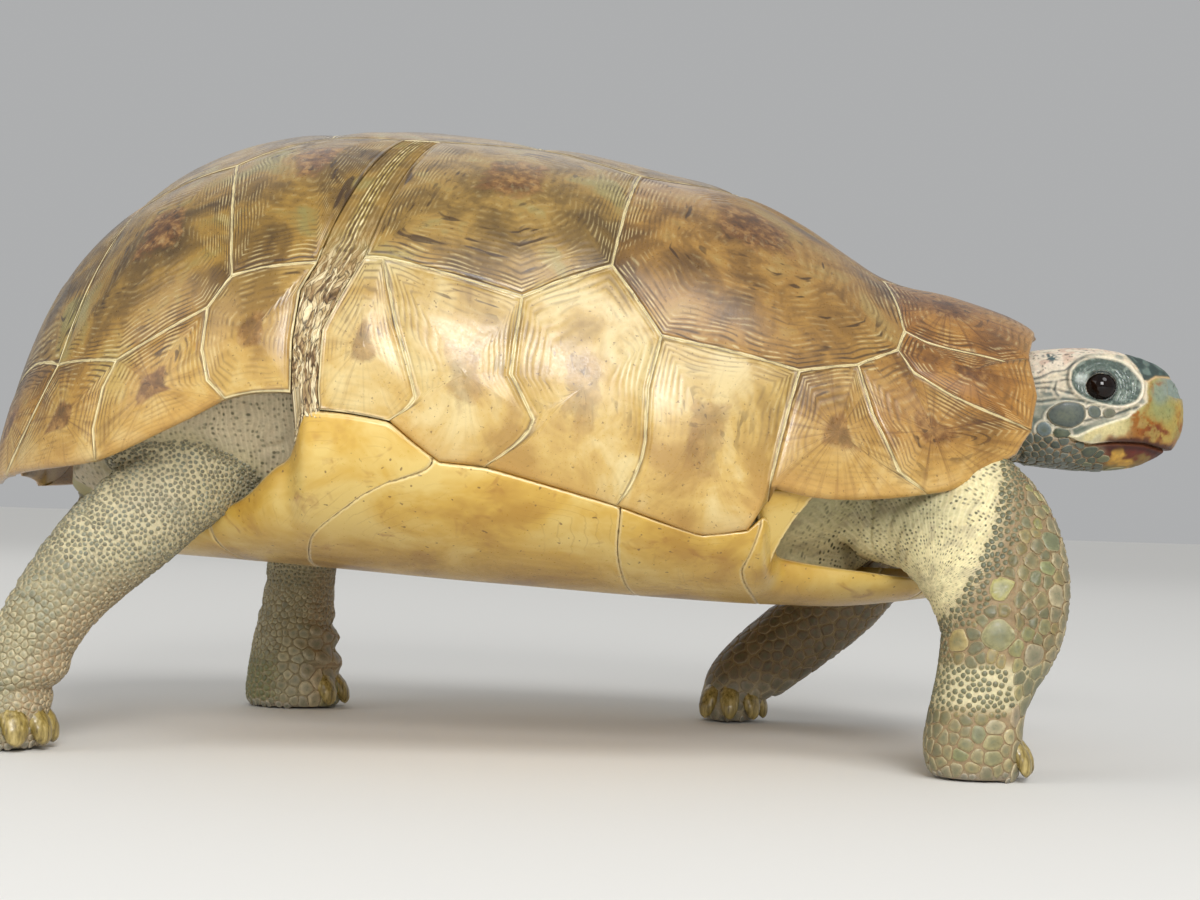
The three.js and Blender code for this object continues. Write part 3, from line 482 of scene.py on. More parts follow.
def carapace_horn():
    """Keratin grown in layers, rubbed smooth: amber depth with dark growth lines and a waxy gloss."""
    made, add = finish("grown_horn_of_the_carapace", Coat_Weight=0.18, Coat_Roughness=0.2, IOR=1.5)
    place = millimetres(add)
    grow, growth, seam, rim, low, polished = (
        kept_shade(add, name) for name in ("grow", "growth", "seam", "rim", "low", "polished"))
    weave = kept_shade(add, "weave", "Vector")
    tint = add("SeparateXYZ", kept_shade(add, "tint", "Vector"))
    ivory, orange, dark = (tint.node.outputs[k] for k in range(3))
    # Clouds about 12 mm across, from olive-brown to amber, paler and yellower low on the shell.
    clouds = add("TexNoise", place, 0.085, 4.0, 0.6, 2.0, 0.4)
    colour = ramp(clouds, CARAPACE_CLOUDS)
    lower = ramp(clouds, [(0.34, "#8c6526"), (0.5, "#b08438"), (0.64, "#c29f54")])
    colour = mix(low, colour, lower)
    pale = ramp(clouds, [(0.34, "#9a7c40"), (0.47, "#b89a58"), (0.6, "#cdb883")])
    colour = mix(ivory, colour, pale)
    rust = ramp(clouds, [(0.34, "#6a4420"), (0.5, "#93612a"), (0.64, "#a9742f")])
    colour = mix(orange, colour, rust)
    # Below the widest line the horn is worn smooth and golden, like the plastron that it meets.
    gold = ramp(clouds, [(0.36, "#a98442"), (0.5, "#c3a25a"), (0.64, "#d3bd84")])
    colour = mix(times(polished, 0.85), colour, gold)
    # The areola is rough brown horn with a ragged edge.
    ragged = add("TexNoise", place, 0.5, 3.0, 0.6)
    heart = less(grow, add("Math", ragged, 0.3, 0.12, operation="MULTIPLY_ADD"))
    heart = remap(heart, -0.05, 0.03, 1.0, 0.0)
    brown = ramp(ragged, [(0.35, "#452812"), (0.5, "#6b441f"), (0.65, "#9a7340")])
    heart = times(heart, less(1.0, times(ivory, 0.6)))
    colour = mix(times(heart, 0.85), colour, brown)
    # Growth lines: dark ones, broken along their run, with pale ones among them near the seams.
    near_line = add("Math", growth, 0.5, operation="PINGPONG")
    broken = add("TexNoise", weave, 0.22, 2.0, 0.5)
    line = remap(near_line, 0.06, 0.26, 1.0, 0.0)
    part = remap(broken, 0.4, 0.56, 0.05, 0.9)
    close = remap(seam, 1.0, 7.0, 1.0, 0.25)
    close = times(close, remap(ivory, 0.0, 1.0, 1.0, 0.45))
    line = times(times(line, part), close)
    line = times(line, less(1.0, times(polished, 0.85)))
    colour = mix(line, colour, "#3a2814")
    between_lines = remap(near_line, 0.28, 0.46, 0.0, 1.0)
    other = add("TexNoise", weave, 0.3, 2.0, 0.5)
    glint = times(between_lines, remap(other, 0.48, 0.6, 0.0, 0.75))
    glint = times(glint, times(close, 0.85))
    glint = times(glint, less(1.0, polished))
    colour = mix(glint, colour, "#d0bf8c")
    # Short dark strokes along the growth lines, and streaks that run out across them on the rim.
    stroke = add("Mapping", weave, None, None, (0.11, 0.11, 0.8), vector_type="POINT")
    strokes = remap(add("TexNoise", stroke, 1.0, 1.0, 0.5), 0.62, 0.68, 0.0, 0.8)
    strokes = times(strokes, less(1.0, polished))
    patch = remap(add("TexNoise", place, 0.06, 1.0, 0.5), 0.42, 0.56, 0.0, 1.0)
    strokes = times(strokes, patch)
    colour = mix(strokes, colour, "#33200f")
    ray = add("Mapping", weave, None, None, (0.75, 0.75, 0.05), vector_type="POINT")
    rays = remap(add("TexNoise", ray, 1.0, 3.0, 0.6), 0.5, 0.72, 0.0, 0.75)
    rays = times(rays, dark)
    colour = mix(rays, colour, "#5a3517")
    # New horn: amber at a free rim, and cream along a seam with a thin dark line beside it.
    colour = mix(times(rim, 0.6), colour, "#c2924a")
    seam = plus(seam, add("Math", other, 0.5, -0.25, operation="MULTIPLY_ADD"))
    shade = remap(seam, 0.24, 0.6, 0.8, 0.0)
    shade = times(shade, remap(other, 0.4, 0.56, 0.25, 1.0))
    shade = times(shade, less(1.0, rim))
    colour = mix(shade, colour, "#463218")
    cream = remap(seam, 0.1, 0.28, 0.85, 0.0)
    cream = times(cream, remap(rim, 0.1, 0.6, 1.0, 0.0))
    colour = mix(cream, colour, "#e6d7a6")
    speck = remap(add("TexNoise", place, 1.6, 2.0, 0.6), 0.66, 0.72, 0.0, 0.6)
    colour = mix(speck, colour, "#4b3318")
    grain = add("TexNoise", place, 2.4, 3.0, 0.65)
    rough = remap(grain, 0.3, 0.7, 0.24, 0.42)
    rough = plus(rough, times(line, 0.2))
    bump = add("Bump", 0.35, 0.0004, less(grain, line))
    wire(made, Base_Color=colour, Roughness=rough, Normal=bump)
    return made


# How each scute differs: share of ivory, of rust and of outward streaks.
TINTS = {"marginal_1": (0, 0.8, 1), "marginal_2": (0, 0.75, 0.9), "marginal_3": (0.15, 0.5, 0.8),
         "marginal_4": (0.35, 0.3, 0.7), "marginal_5": (0.85, 0, 0.15), "marginal_6": (0.9, 0, 0.1),
         "marginal_7": (0.85, 0, 0.15), "marginal_8": (0.55, 0, 0.3), "marginal_9": (0.35, 0, 0.1),
         "marginal_10": (0, 0, 0.5), "marginal_11": (0, 0, 0.7), "marginal_12": (0, 0.2, 0.8),
         "costal_1": (0.1, 0.35, 0), "costal_2": (0.1, 0, 0), "nuchal": (0, 0.4, 0.8),
         "supracaudal": (0, 0.2, 0.8), "vertebral_1": (0, 0.5, 0.2)}
horn = carapace_horn()
for name, piece in scutes.items():
    tint = TINTS.get(name.replace("_right", "").replace("_left", ""), (0, 0, 0))
    layer = piece.data.attributes.new("tint", "FLOAT_VECTOR", "POINT")
    layer.data.foreach_set("vector", np.tile(np.float32(tint), len(piece.data.vertices)))
    piece.data.materials.append(horn)

# ------------------------------------------------------------------ scutes of the plastron
# The belly's six pairs of scutes, smooth golden horn over bone. They bend up at the bridge to meet the rim
# scutes, and front and rear lobes end free. Each pair is one curved slab with a fine groove on its mid-line.
BRIDGE_SEAM = [(24.5, 104.2), (17, 110), (3, 105.3), (-18.4, 100.9), (-25.8, 101.6), (-33.9, 93.8),
               (-45, 92.5)]
FREE_EDGE = 92
bridge_xs, bridge_degrees = np.array(BRIDGE_SEAM[::-1]).T
# Each border between pairs: x at stations across the belly, from the mid-line (0) to the edge (1).
BELLY_BORDERS = [
    [(0, 71), (1, 71)], [(0, 54), (1, 58)], [(0, 30), (0.7, 24.2), (0.88, 25.6), (1, 26.6)],
    [(0, 8), (0.5, 4.6), (0.75, 3.4), (1, 3.6)],
    [(0, -50), (0.48, -48), (0.73, -39), (0.85, -32), (1, -26.8)], [(0, -62), (1, -66)],
    [(0, -89), (1, -92)],
]
BELLY_NODES = ["gular", "humeral", "pectoral", "abdominal", "femoral", "anal"]
BELLY_COLUMNS, BELLY_STEP, BELLY_DEPTH = 160, 0.9, 2.4
UNDERSIDE_SEAM = 3.0  # the seam shade of undersides, which puts them far from any seam
LOBE_ROUND, BRIDGE_ROUND = 1.22, 0.12  # how far the edges of the free lobes and of the bridge are rounded


def belly_edge(x):
    """Degrees at the right edge of the belly: the bridge's seam, else the edge of a free lobe."""
    inner = np.interp(x, bridge_xs, bridge_degrees)
    ahead = np.clip((x - bridge_xs[-1]) / BRIDGE_FADE, 0, 1)
    behind = np.clip((BRIDGE_REAR - x) / BRIDGE_FADE, 0, 1)
    return inner + (FREE_EDGE - inner) * np.maximum(ahead, behind)


def belly_scute(k):
    """One pair of the belly's scutes, as a slab from its front border to its rear one."""
    across = np.linspace(-1, 1, BELLY_COLUMNS + 1)
    front, rear = (curve(BELLY_BORDERS[n])(np.abs(across)) for n in (k, k + 1))
    rows = max(12, round(np.abs(front - rear).max() / BELLY_STEP))
    share = 0.5 - 0.5 * np.cos(np.linspace(0, np.pi, rows + 1)[:, None])
    share = share * 0.35 + np.linspace(0, 1, rows + 1)[:, None] * 0.65
    x = front - 0.05 + (rear + 0.05 - (front - 0.05)) * share
    reach = 180 - belly_edge(x) - 0.35
    degrees = 180 - across * reach
    surface = on_shell(x, degrees)
    bend = np.abs(across) ** 4
    out = unit(np.stack([0 * across, -across * bend, bend - 1.15], -1)) + 0 * surface
    edge_gap = (1 - np.abs(across)) * reach * 0.9
    seams = np.minimum(front - x, x - rear)
    middle = np.abs(surface[..., 1])
    depth = np.minimum(np.minimum(seams, edge_gap), middle)
    lobe = (x > BRIDGE_FRONT + 2) | (x < BRIDGE_REAR - 2)
    edge_round = BRIDGE_ROUND + (LOBE_ROUND - BRIDGE_ROUND) * lobe
    free_end = {0: front - x, len(BELLY_NODES) - 1: x - rear}.get(k, 99)
    lip = np.minimum(edge_gap, free_end)
    short = np.clip(edge_round - lip, 0, edge_round)
    drop = edge_round - np.sqrt(np.maximum(edge_round**2 - short**2, 0))
    ridge = (0.04 * np.exp(-((seams - 0.35) / 0.3) ** 2)
             - 0.08 * np.exp(-(np.minimum(seams, middle) / 0.15) ** 2))
    height = ridge - drop + 0.2 * (value_noise(surface * 0.06, 4) - 0.5)
    top = surface + out * height[..., None]
    thin = np.clip(1 - lip / 1.2, 0, 1) ** 2 * lobe
    low = surface - out * (BELLY_DEPTH - 1.1 * thin)[..., None]
    shades = {"seam": (depth, UNDERSIDE_SEAM), "across": (np.abs(across) + 0 * x, 0.5)}
    return slab("scute_" + BELLY_NODES[k], top, low, shades)


for k, name in enumerate(BELLY_NODES):
    scutes[name] = belly_scute(k)
    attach(scutes[name], "root")
    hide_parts(name)


def belly_horn():
    """Smooth keratin worn by the ground. It gives an even golden yellow with soft brown stains."""
    made, add = finish("worn_horn_of_the_plastron", Coat_Weight=0.25, Coat_Roughness=0.25, IOR=1.54)
    place = millimetres(add)
    seam, across = kept_shade(add, "seam"), kept_shade(add, "across")
    clouds = add("TexNoise", place, 0.06, 4.0, 0.6, 2.0, 0.5)
    colour = ramp(clouds, [(0.34, "#b58a34"), (0.47, "#cca548"), (0.6, "#d8bb6c")])
    under = remap(across, 0.2, 0.65, 0.7, 0.0)
    colour = mix(under, colour, ramp(clouds, [(0.4, "#7e5a26"), (0.6, "#c0963c")]))
    # Wear lines a few millimetres apart run with the seams.
    wander = plus(seam, times(clouds, 6.0))
    ring = remap(add("Math", wander, 1.1, operation="PINGPONG"), 0.0, 0.18, 0.3, 0.0)
    broken = remap(add("TexNoise", place, 0.11, 2.0, 0.5), 0.5, 0.62, 0.0, 1.0)
    ring = times(ring, broken)
    colour = mix(ring, colour, "#9a6a2c")
    stain_and_shade = remap(add("TexNoise", place, 0.16, 3.0, 0.65, 2.0, 0.8), 0.6, 0.74, 0.0, 0.55)
    colour = mix(stain_and_shade, colour, "#8e4f1c")
    speck = remap(add("TexNoise", place, 0.9, 1.0, 0.5), 0.72, 0.76, 0.0, 0.7)
    colour = mix(speck, colour, "#5c3a1a")
    ragged = less(seam, times(add("TexNoise", place, 0.8, 2.0, 0.6), 0.5))
    edge = remap(ragged, 0.0, 0.3, 0.5, 0.0)
    colour = mix(edge, colour, "#ecd9a4")
    colour = mix(remap(ragged, -0.28, -0.08, 0.85, 0.0), colour, "#6b4a24")
    grain = add("TexNoise", place, 1.8, 3.0, 0.6)
    wire(made, Base_Color=colour, Roughness=remap(grain, 0.3, 0.7, 0.26, 0.44),
         Normal=add("Bump", 0.25, 0.0003, grain))
    return made


golden = belly_horn()
for name in BELLY_NODES:
    scutes[name].data.materials.append(golden)

# ------------------------------------------------------------------ axillary scutes
# A small three-cornered plate of horn at the front of each bridge, which closes the corner between the rim
# and the humeral scute. It is golden like the belly and lies tucked under the rim.
AXILLA_REAR, AXILLA_FRONT, AXILLA_LOW = (25, -57.2, 46.6), (36.4, -56, 47), (28.6, -47.8, 33)
AXILLA_STEPS, AXILLA_DEPTH, AXILLA_WIDTH = 20, 1.4, 8


def axillary(name, side):
    rear, front, low = (np.array(corner) for corner in (AXILLA_REAR, AXILLA_FRONT, AXILLA_LOW))
    u = np.linspace(0, 1, AXILLA_STEPS)[None, :, None]
    v = np.linspace(0, 0.96, AXILLA_STEPS)[:, None, None]
    sheet = (rear + (front - rear) * u) * (1 - v) + low * v
    sheet = sheet - [1.1, 0, 0] * np.sin(np.pi * v) * u - [0, 0.4, 0] * np.sin(np.pi * v) * (1 - u * u)
    edge = np.minimum(u, 1 - u)[..., 0] * AXILLA_WIDTH * (1 - v[..., 0])
    shades = {"seam": (edge, UNDERSIDE_SEAM), "across": (0.9 + 0 * edge, 0.9)}
    mirror = [1, -side, 1]
    return slab(name, sheet * mirror, (sheet + [0, AXILLA_DEPTH, 0]) * mirror, shades, turned=side < 0)


for side, name in ((1, "axillary_left"), (-1, "axillary_right")):
    scutes[name] = axillary("scute_" + name, side)
    scutes[name].data.materials.append(golden)
    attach(scutes[name], "root")

# ------------------------------------------------------------------ hinge
# The soft line across the shell behind the second costal, where the rear third can drop to shut. It is
# layered, flaking horn over tissue, cream and dark brown, and it curls where it ends at the rim.
HINGE_FRONT = [(-30, 24), (-39.1, 67.2), (-45.1, 81.3), (-45.4, 90), (-44.6, 94.5)]
HINGE_REAR = [(-36, 24.5), (-46.8, 68.4), (-49.1, 73.7), (-49.9, 82.6), (-49.6, 93)]
HINGE_ROWS, HINGE_COLUMNS, HINGE_DEPTH = 230, 40, 1.9


def walked(line, share):
    """Places along a line of (x, degrees), by share of its length on the shell."""
    line = np.array(line)
    runs = np.linalg.norm(np.diff(on_shell(*line.T), axis=0), axis=-1)
    at = np.concatenate([[0], np.cumsum(runs)]) / runs.sum()
    return np.stack([np.interp(share, at, line[:, k]) for k in (0, 1)], -1)


def hinge(name, side):
    share = np.linspace(0.004, 0.996, HINGE_ROWS)
    front, rear = walked(HINGE_FRONT, share)[:, None], walked(HINGE_REAR, share)[:, None]
    t = np.linspace(0.02, 0.98, HINGE_COLUMNS)[:, None]
    places = front + (rear - front) * t
    surface = on_shell(places[..., 0], places[..., 1] * side)
    length, width = share[:, None] * 62 + 0 * t[:, 0], t[:, 0] * 6 + 0 * share[:, None]
    loose = step(share, 0.42, 0.72)[:, None]
    along = np.stack([length * 0.09, width * 0.5, 0 * width], -1)
    waves = value_noise(along * (1 + 1.5 * loose[..., None]), 11)
    layer = width * (1.7 - 0.5 * loose) + (0.5 + 0.5 * loose) * waves
    ridge = np.abs((layer % 1) - 0.5) * 2
    flake = value_noise(np.stack([length * 0.9, layer.round() * 9.1, 0 * width], -1), 12)
    crumb = value_noise(np.stack([length * 2.2, width * 2.2, 0 * width], -1), 13)
    height = -0.04 - 0.66 * loose + 0.1 * ridge + loose * (0.7 * flake * ridge + 0.7 * crumb)
    off_middle = np.abs(2 * t[:, 0] - 1)
    height -= 0.4 * off_middle ** 8 * (0.15 + 0.85 * loose)
    top = surface + outward(surface) * height[..., None]
    low = surface - outward(surface) * HINGE_DEPTH
    shades = {"ridge": (ridge * (0.6 + 0.4 * flake), 0.0), "side": (off_middle + 0 * width, 0.0),
              "loose": (loose + 0 * width, 0.0),
              "run": (np.stack([length, layer / 1.5, crumb * 0.3], -1), 0.0)}
    return slab(name, top, low, shades, turned=side < 0)


for name, side in (("hinge_right", 1), ("hinge_left", -1)):
    scutes[name] = hinge("horn_" + name, side)
    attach(scutes[name], "root")
    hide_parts(name)


def flaking_horn():
    """Dead horn in loose layers over the hinge's tissue. It gives cream edges and dark brown cracks."""
    made, add = finish("flaking_horn_of_the_hinge", IOR=1.5)
    ridge = kept_shade(add, "ridge")
    run = kept_shade(add, "run", "Vector")
    loose = kept_shade(add, "loose")
    # Flakes about 3 mm long lie along the run, each its own shade, with dark cracks between them.
    bent = add("TexNoise", run, 0.5, 2.0, 0.5, out="Color")
    bent = add("VectorMath", run, add("VectorMath", bent, 0.9, operation="SCALE"), operation="ADD")
    flakes = add("Mapping", bent, None, None, (0.4, 3.0, 1.0), vector_type="POINT")
    each = add("SeparateXYZ", add("TexVoronoi", flakes, 1.0, out="Color", feature="F1"))
    crack = add("TexVoronoi", flakes, 1.0, out="Distance", feature="DISTANCE_TO_EDGE")
    fleck = add("TexNoise", add("Mapping", run, None, None, (0.5, 1.8, 1.0), vector_type="POINT"), 1.0, 3.0,
                0.65)
    tone = plus(times(each, 0.55), fleck)
    crumbled = ramp(tone, [(0.4, "#55402a"), (0.58, "#927650"), (0.76, "#b9a276"), (0.98, "#e6d6ae")])
    crumbled = mix(remap(crack, 0.01, 0.12, 0.85, 0.0), crumbled, "#2c1c12")
    height = plus(ridge, add("Math", fleck, 1.0, -0.5, operation="MULTIPLY_ADD"))
    layered = ramp(height, [(0.08, "#4a3818"), (0.3, "#6d5528"), (0.56, "#96803f"), (0.8, "#dccb9c")])
    place = millimetres(add)
    horn = ramp(add("TexNoise", place, 0.085, 4.0, 0.6, 2.0, 0.4), CARAPACE_CLOUDS)
    beside = remap(kept_shade(add, "side"), 0.25, 0.5, 0.0, 0.85)
    layered = mix(beside, layered, horn)
    colour = mix(loose, layered, crumbled)
    height = plus(height, remap(crack, 0.0, 0.2, -0.8, 0.0))
    wire(made, Base_Color=colour, Roughness=remap(height, 0.2, 0.8, 0.75, 0.45),
         Normal=add("Bump", 0.5, 0.0004, height))
    return made


flaking = flaking_horn()
for name in ("hinge_right", "hinge_left"):
    scutes[name].data.materials.append(flaking)

# ------------------------------------------------------------------ skin
# One skin over the soft parts: the trunk inside the shell, the neck, head, tail and four limbs in mid-stride.
# It is leathery, folded at the shoulder and knee, and drawn over the skull. It is swept from rings and made
# one by a voxel remesh, fine on the head and coarse where the shell hides it.
SKIN_DEPTH = 0.35  # how far the bare skin lies inside the scales' tips
SKIN_LEVEL = 0.05  # the lowest that the skin reaches
LIMBS = {  # rows of x, y, z, half length fore-and-aft and half depth, from the trunk down to the sole
    "front_right": [
        (47, -31, 47, 12, 9), (57.4, -38.5, 45.8, 13.2, 9.4), (63.6, -44, 40.6, 13.4, 9.2),
        (66.9, -48.6, 32.6, 12.4, 8.8), (67.3, -50.8, 24.6, 10.6, 8.4), (65.3, -51.5, 17.5, 8.6, 7.8),
        (63.7, -51.5, 11.5, 7.9, 7.6), (63.2, -51.5, 6, 8.4, 7.8), (63.4, -51.5, 1.6, 7.9, 7.4),
        (63.6, -51.5, 0, 6.9, 6.6)],
    "front_left": [
        (50, 30, 46, 10, 9), (55, 37, 41, 10.5, 9), (56, 42.5, 34, 9.5, 8.6), (51, 44, 26, 8.8, 8.2),
        (43.5, 43.5, 19, 8.2, 8), (36, 42.5, 13, 7.8, 7.8), (30.6, 41.6, 8, 7.2, 7.6),
        (28.4, 41, 3.6, 6.6, 7.4), (28, 41, 1.2, 5.8, 7), (28, 41, 0, 5, 6.2)],
    "rear_right": [
        (-62, -30, 46, 9, 8), (-66, -40, 47, 8.5, 8), (-71, -46, 44, 8.8, 8), (-77.5, -49, 38, 9, 8),
        (-84, -50, 31.5, 8.4, 7.8), (-89.5, -50.5, 24.5, 7.4, 7.4), (-94, -50.5, 16.5, 7.2, 7.4),
        (-97, -50.5, 9.5, 7.6, 7.8), (-98.8, -50.5, 4, 8.4, 8.2), (-98.8, -50.5, 1.4, 8.2, 8),
        (-98.8, -50.5, 0, 7.2, 7.2)],
    "rear_left": [
        (-56, 30, 48, 10, 8), (-58, 38, 45, 9.4, 8), (-60, 42, 38, 8.2, 7.8), (-61, 43.5, 30, 7.4, 7.4),
        (-61.6, 44, 22, 7.6, 7.6), (-62, 44, 14, 8.8, 8.4), (-62, 44, 7, 9.8, 9), (-62, 44, 2, 10, 9.2),
        (-62, 44, 0, 9, 8.4)],
}
# Head rows: x, top, bottom and half width. Neck rows: x, z, half height and half width.
# Tail rows: x, y, z and radius.
HEAD_ROWS = [(77, 73, 55, 9.5), (80, 75, 53.4, 10.8), (84.5, 75.7, 52.9, 12), (89, 76, 52.6, 12),
             (93.5, 76, 52.5, 11), (98, 75.2, 52.8, 9.6), (102, 74.2, 53.8, 8), (105.5, 72.6, 55.4, 6.2),
             (108, 69.8, 57.6, 4.2), (109.4, 67, 60.5, 2.2)]
NECK_ROWS = [(44, 58, 14, 13), (58, 60, 13.4, 12.6), (70, 63, 12, 11.4), (79, 64.2, 9.6, 9.4)]
TAIL_ROWS = [(-82, 0, 43, 7), (-90, -1, 40.5, 6), (-96, -3, 35.5, 4.8), (-99, -5.5, 29.5, 3.4),
             (-98.5, -8, 24.5, 2), (-97.5, -9.5, 21.5, 0.8)]
TRUNK_ROWS = [(-97, 0.3), (-92, 0.7), (-84, 0.93), (-70, 1), (12, 1), (30, 1), (40, 0.94), (47, 0.76),
              (52, 0.56), (55.5, 0.34)]
TRUNK_INSET, CHEST, VOXEL = 5.5, 45, 0.7
head_middle = curve([(77, 64), (93, 64.6), (102, 64.4), (109.4, 63.8)])


def between(rows, count):
    """Rows made closer by a smooth curve through them."""
    rows = np.array(rows, float)
    t = np.linspace(0, len(rows) - 1, count)
    k = np.minimum(t.astype(int), len(rows) - 2)
    f = (t - k)[:, None]
    a, b, c, d = (rows[np.clip(k + n, 0, len(rows) - 1)] for n in (-1, 0, 1, 2))
    return 0.5 * (2 * b + (c - a) * f + (2 * a - 5 * b + 4 * c - d) * f**2 + (3 * b - a - 3 * c + d) * f**3)


def oval(power, count=44):
    a = np.linspace(0, 2 * np.pi, count, endpoint=False)
    return tuple(np.sign(v) * np.abs(v) ** (2 / power) for v in (np.cos(a), np.sin(a)))


def swept(centres, wide, deep, power, foot=False):
    """Oval rings along a path, standing square to it, with the depth kept near the Y axis."""
    forward = unit(np.gradient(centres, axis=0))
    if foot:
        level = step(centres[:, 2:], 2.5, 12)
        forward = unit(forward * level + np.array([0, 0, -1]) * (1 - level))
    side = unit(np.array([0, 1, 0]) - forward * forward[:, 1:2])
    cross = np.cross(side, forward)
    c, s = oval(power)
    return (centres[:, None] + cross[:, None] * (wide[:, None] * c)[..., None]
            + side[:, None] * (deep[:, None] * s)[..., None])


def swept_faces(rings, start):
    rows, count = rings.shape[:2]
    first, last = start + np.arange(count)[::-1], start + (rows - 1) * count + np.arange(count)
    return [list(f) for f in sheet_faces(rows, count, start=start)] + [list(first), list(last)]


def trunk_rings():
    x, share = between(TRUNK_ROWS, 60).T
    level = eaves(x) * 0.75 + keel(x) * 0.25 + np.maximum(0, x - CHEST) * 0.35
    heart = np.stack([x, 0 * x, level], -1)[:, None]
    p = on_shell(x[:, None], np.linspace(0, 360, 90, endpoint=False) + 0 * x[:, None])
    rings = heart + (p - unit(p - heart) * TRUNK_INSET - heart) * share[:, None, None]
    rings[..., 0] = x[:, None]
    return rings


def head_rings():
    x, top, bottom, half = between(HEAD_ROWS, 60).T
    middle = head_middle(x)
    c, s = oval(2.5)
    high = np.where(s > 0, (top - middle)[:, None], (middle - bottom)[:, None])
    return np.stack([x[:, None] + 0 * c, half[:, None] * c, middle[:, None] + high * s], -1)


def limb_rings(rows):
    x, y, z, wide, deep = between(rows, 56).T
    return swept(np.stack([x, y, z], -1), wide, deep, 2.2, foot=True)


neck, tail = between(NECK_ROWS, 30).T, between(TAIL_ROWS, 40).T
soft_parts = [
    trunk_rings(), head_rings(),
    swept(np.stack([neck[0], 0 * neck[0], neck[1]], -1), neck[2], neck[3], 2),
    swept(tail[:3].T, tail[3], tail[3], 2),
] + [limb_rings(rows) for rows in LIMBS.values()]

# The remesh runs in a space drawn out along x, three times as large at the head and small inside the shell.
warp_x = np.linspace(-130, 130, 2601)
warp_scale = 1 + 2 * step(warp_x, 68, 84)
warp_slope = warp_scale - 0.75 * step(warp_x, -50, -40) * (1 - step(warp_x, 12, 22))
warp_to = np.concatenate([[0], np.cumsum((warp_slope[1:] + warp_slope[:-1]) / 2 * np.diff(warp_x))])
WARP_LEVEL = 62.0


def warped(p):
    scale = np.interp(p[:, 0], warp_x, warp_scale)
    return np.stack([np.interp(p[:, 0], warp_x, warp_to), p[:, 1] * scale,
                     WARP_LEVEL + (p[:, 2] - WARP_LEVEL) * scale], -1)


def unwarped(p):
    x = np.interp(p[:, 0], warp_to, warp_x)
    scale = np.interp(x, warp_x, warp_scale)
    return np.stack([x, p[:, 1] / scale, WARP_LEVEL + (p[:, 2] - WARP_LEVEL) / scale], -1)


def quad_arrays(data):
    """The points of a mesh of quads, and the points at each quad's corners."""
    points = np.empty(len(data.vertices) * 3)
    data.vertices.foreach_get("co", points)
    corners = np.empty(len(data.loops), int)
    data.loops.foreach_get("vertex_index", corners)
    return points.reshape(-1, 3), corners.reshape(-1, 4)


def one_skin():
    """The soft parts made one by a voxel remesh, still in the warped space."""
    data = bpy.data.meshes.new("soft parts")
    points, faces = [], []
    for rings in soft_parts:
        start = sum(len(p) for p in points)
        faces += swept_faces(rings, start)
        points.append(rings.reshape(-1, 3))
    data.from_pydata(warped(np.concatenate(points)).tolist(), [], faces)
    rough = bpy.data.objects.new("soft parts", data)
    bpy.context.scene.collection.objects.link(rough)
    remesh = rough.modifiers.new("remesh", "REMESH")
    remesh.mode, remesh.voxel_size = "VOXEL", VOXEL
    made = bpy.data.meshes.new_from_object(rough.evaluated_get(bpy.context.evaluated_depsgraph_get()))
    points, quads = quad_arrays(made)
    bpy.data.objects.remove(rough)
    for old in (data, made):
        bpy.data.meshes.remove(old)
    return points, quads


def smoothed(points, quads, rounds, share=0.5):
    links = np.concatenate([quads[:, [0, 1]], quads[:, [1, 2]], quads[:, [2, 3]], quads[:, [3, 0]]])
    ties = np.bincount(links[:, 0], minlength=len(points))[:, None]
    for _ in range(rounds):
        pull = np.stack([np.bincount(links[:, 0], points[links[:, 1], k], len(points)) for k in range(3)], -1)
        points = points + (pull / ties - points) * share
    return points


def normals_of(points, quads):
    p = points[quads]
    face = np.cross(p[:, 2] - p[:, 0], p[:, 3] - p[:, 1])
    total = np.stack([np.bincount(quads.ravel(), np.repeat(face[:, k], 4), len(points)) for k in range(3)],
                     -1)
    return unit(total)


# Each part's axis, for markings and scales that follow it: points with the mean radius, and length in mm.
AXES = {name: between(rows, 30) for name, rows in LIMBS.items()}
AXES = {name: np.column_stack([a[:, :3], (a[:, 3] + a[:, 4]) / 2]) for name, a in AXES.items()}
AXES["head"] = np.stack([np.linspace(60, 108, 24), np.zeros(24), np.linspace(62, 64.6, 24),
                         np.full(24, 11.5)], -1)
AXES["tail"] = between(TAIL_ROWS, 24)


def on_parts(p):
    """For points: the nearest part, millimetres and share along its axis, and distance over its radius."""
    best = np.full(len(p), np.inf)
    part, run, share = np.zeros(len(p), int), np.zeros(len(p)), np.zeros(len(p))
    for k, axis in enumerate(AXES.values()):
        steps = np.linalg.norm(np.diff(axis[:, :3], axis=0), axis=-1)
        length = np.concatenate([[0], np.cumsum(steps)])
        far = np.linalg.norm(p[:, None] - axis[:, :3], axis=-1) / axis[:, 3]
        at = far.argmin(1)
        near = far[np.arange(len(p)), at]
        ahead = np.clip(at + 1, 0, len(axis) - 1)
        along = unit(axis[ahead, :3] - axis[ahead - 1, :3])
        closer = near < best
        exact = length[at] + np.sum((p - axis[at, :3]) * along, -1)
        part[closer], run[closer], share[closer] = k, exact[closer], (exact / length[-1])[closer]
        best = np.minimum(best, near)
    return part, run, np.clip(share, 0, 1), best


PARTS = {name: k for k, name in enumerate(AXES)}
HIND_LEGS = [PARTS["rear_right"], PARTS["rear_left"]]

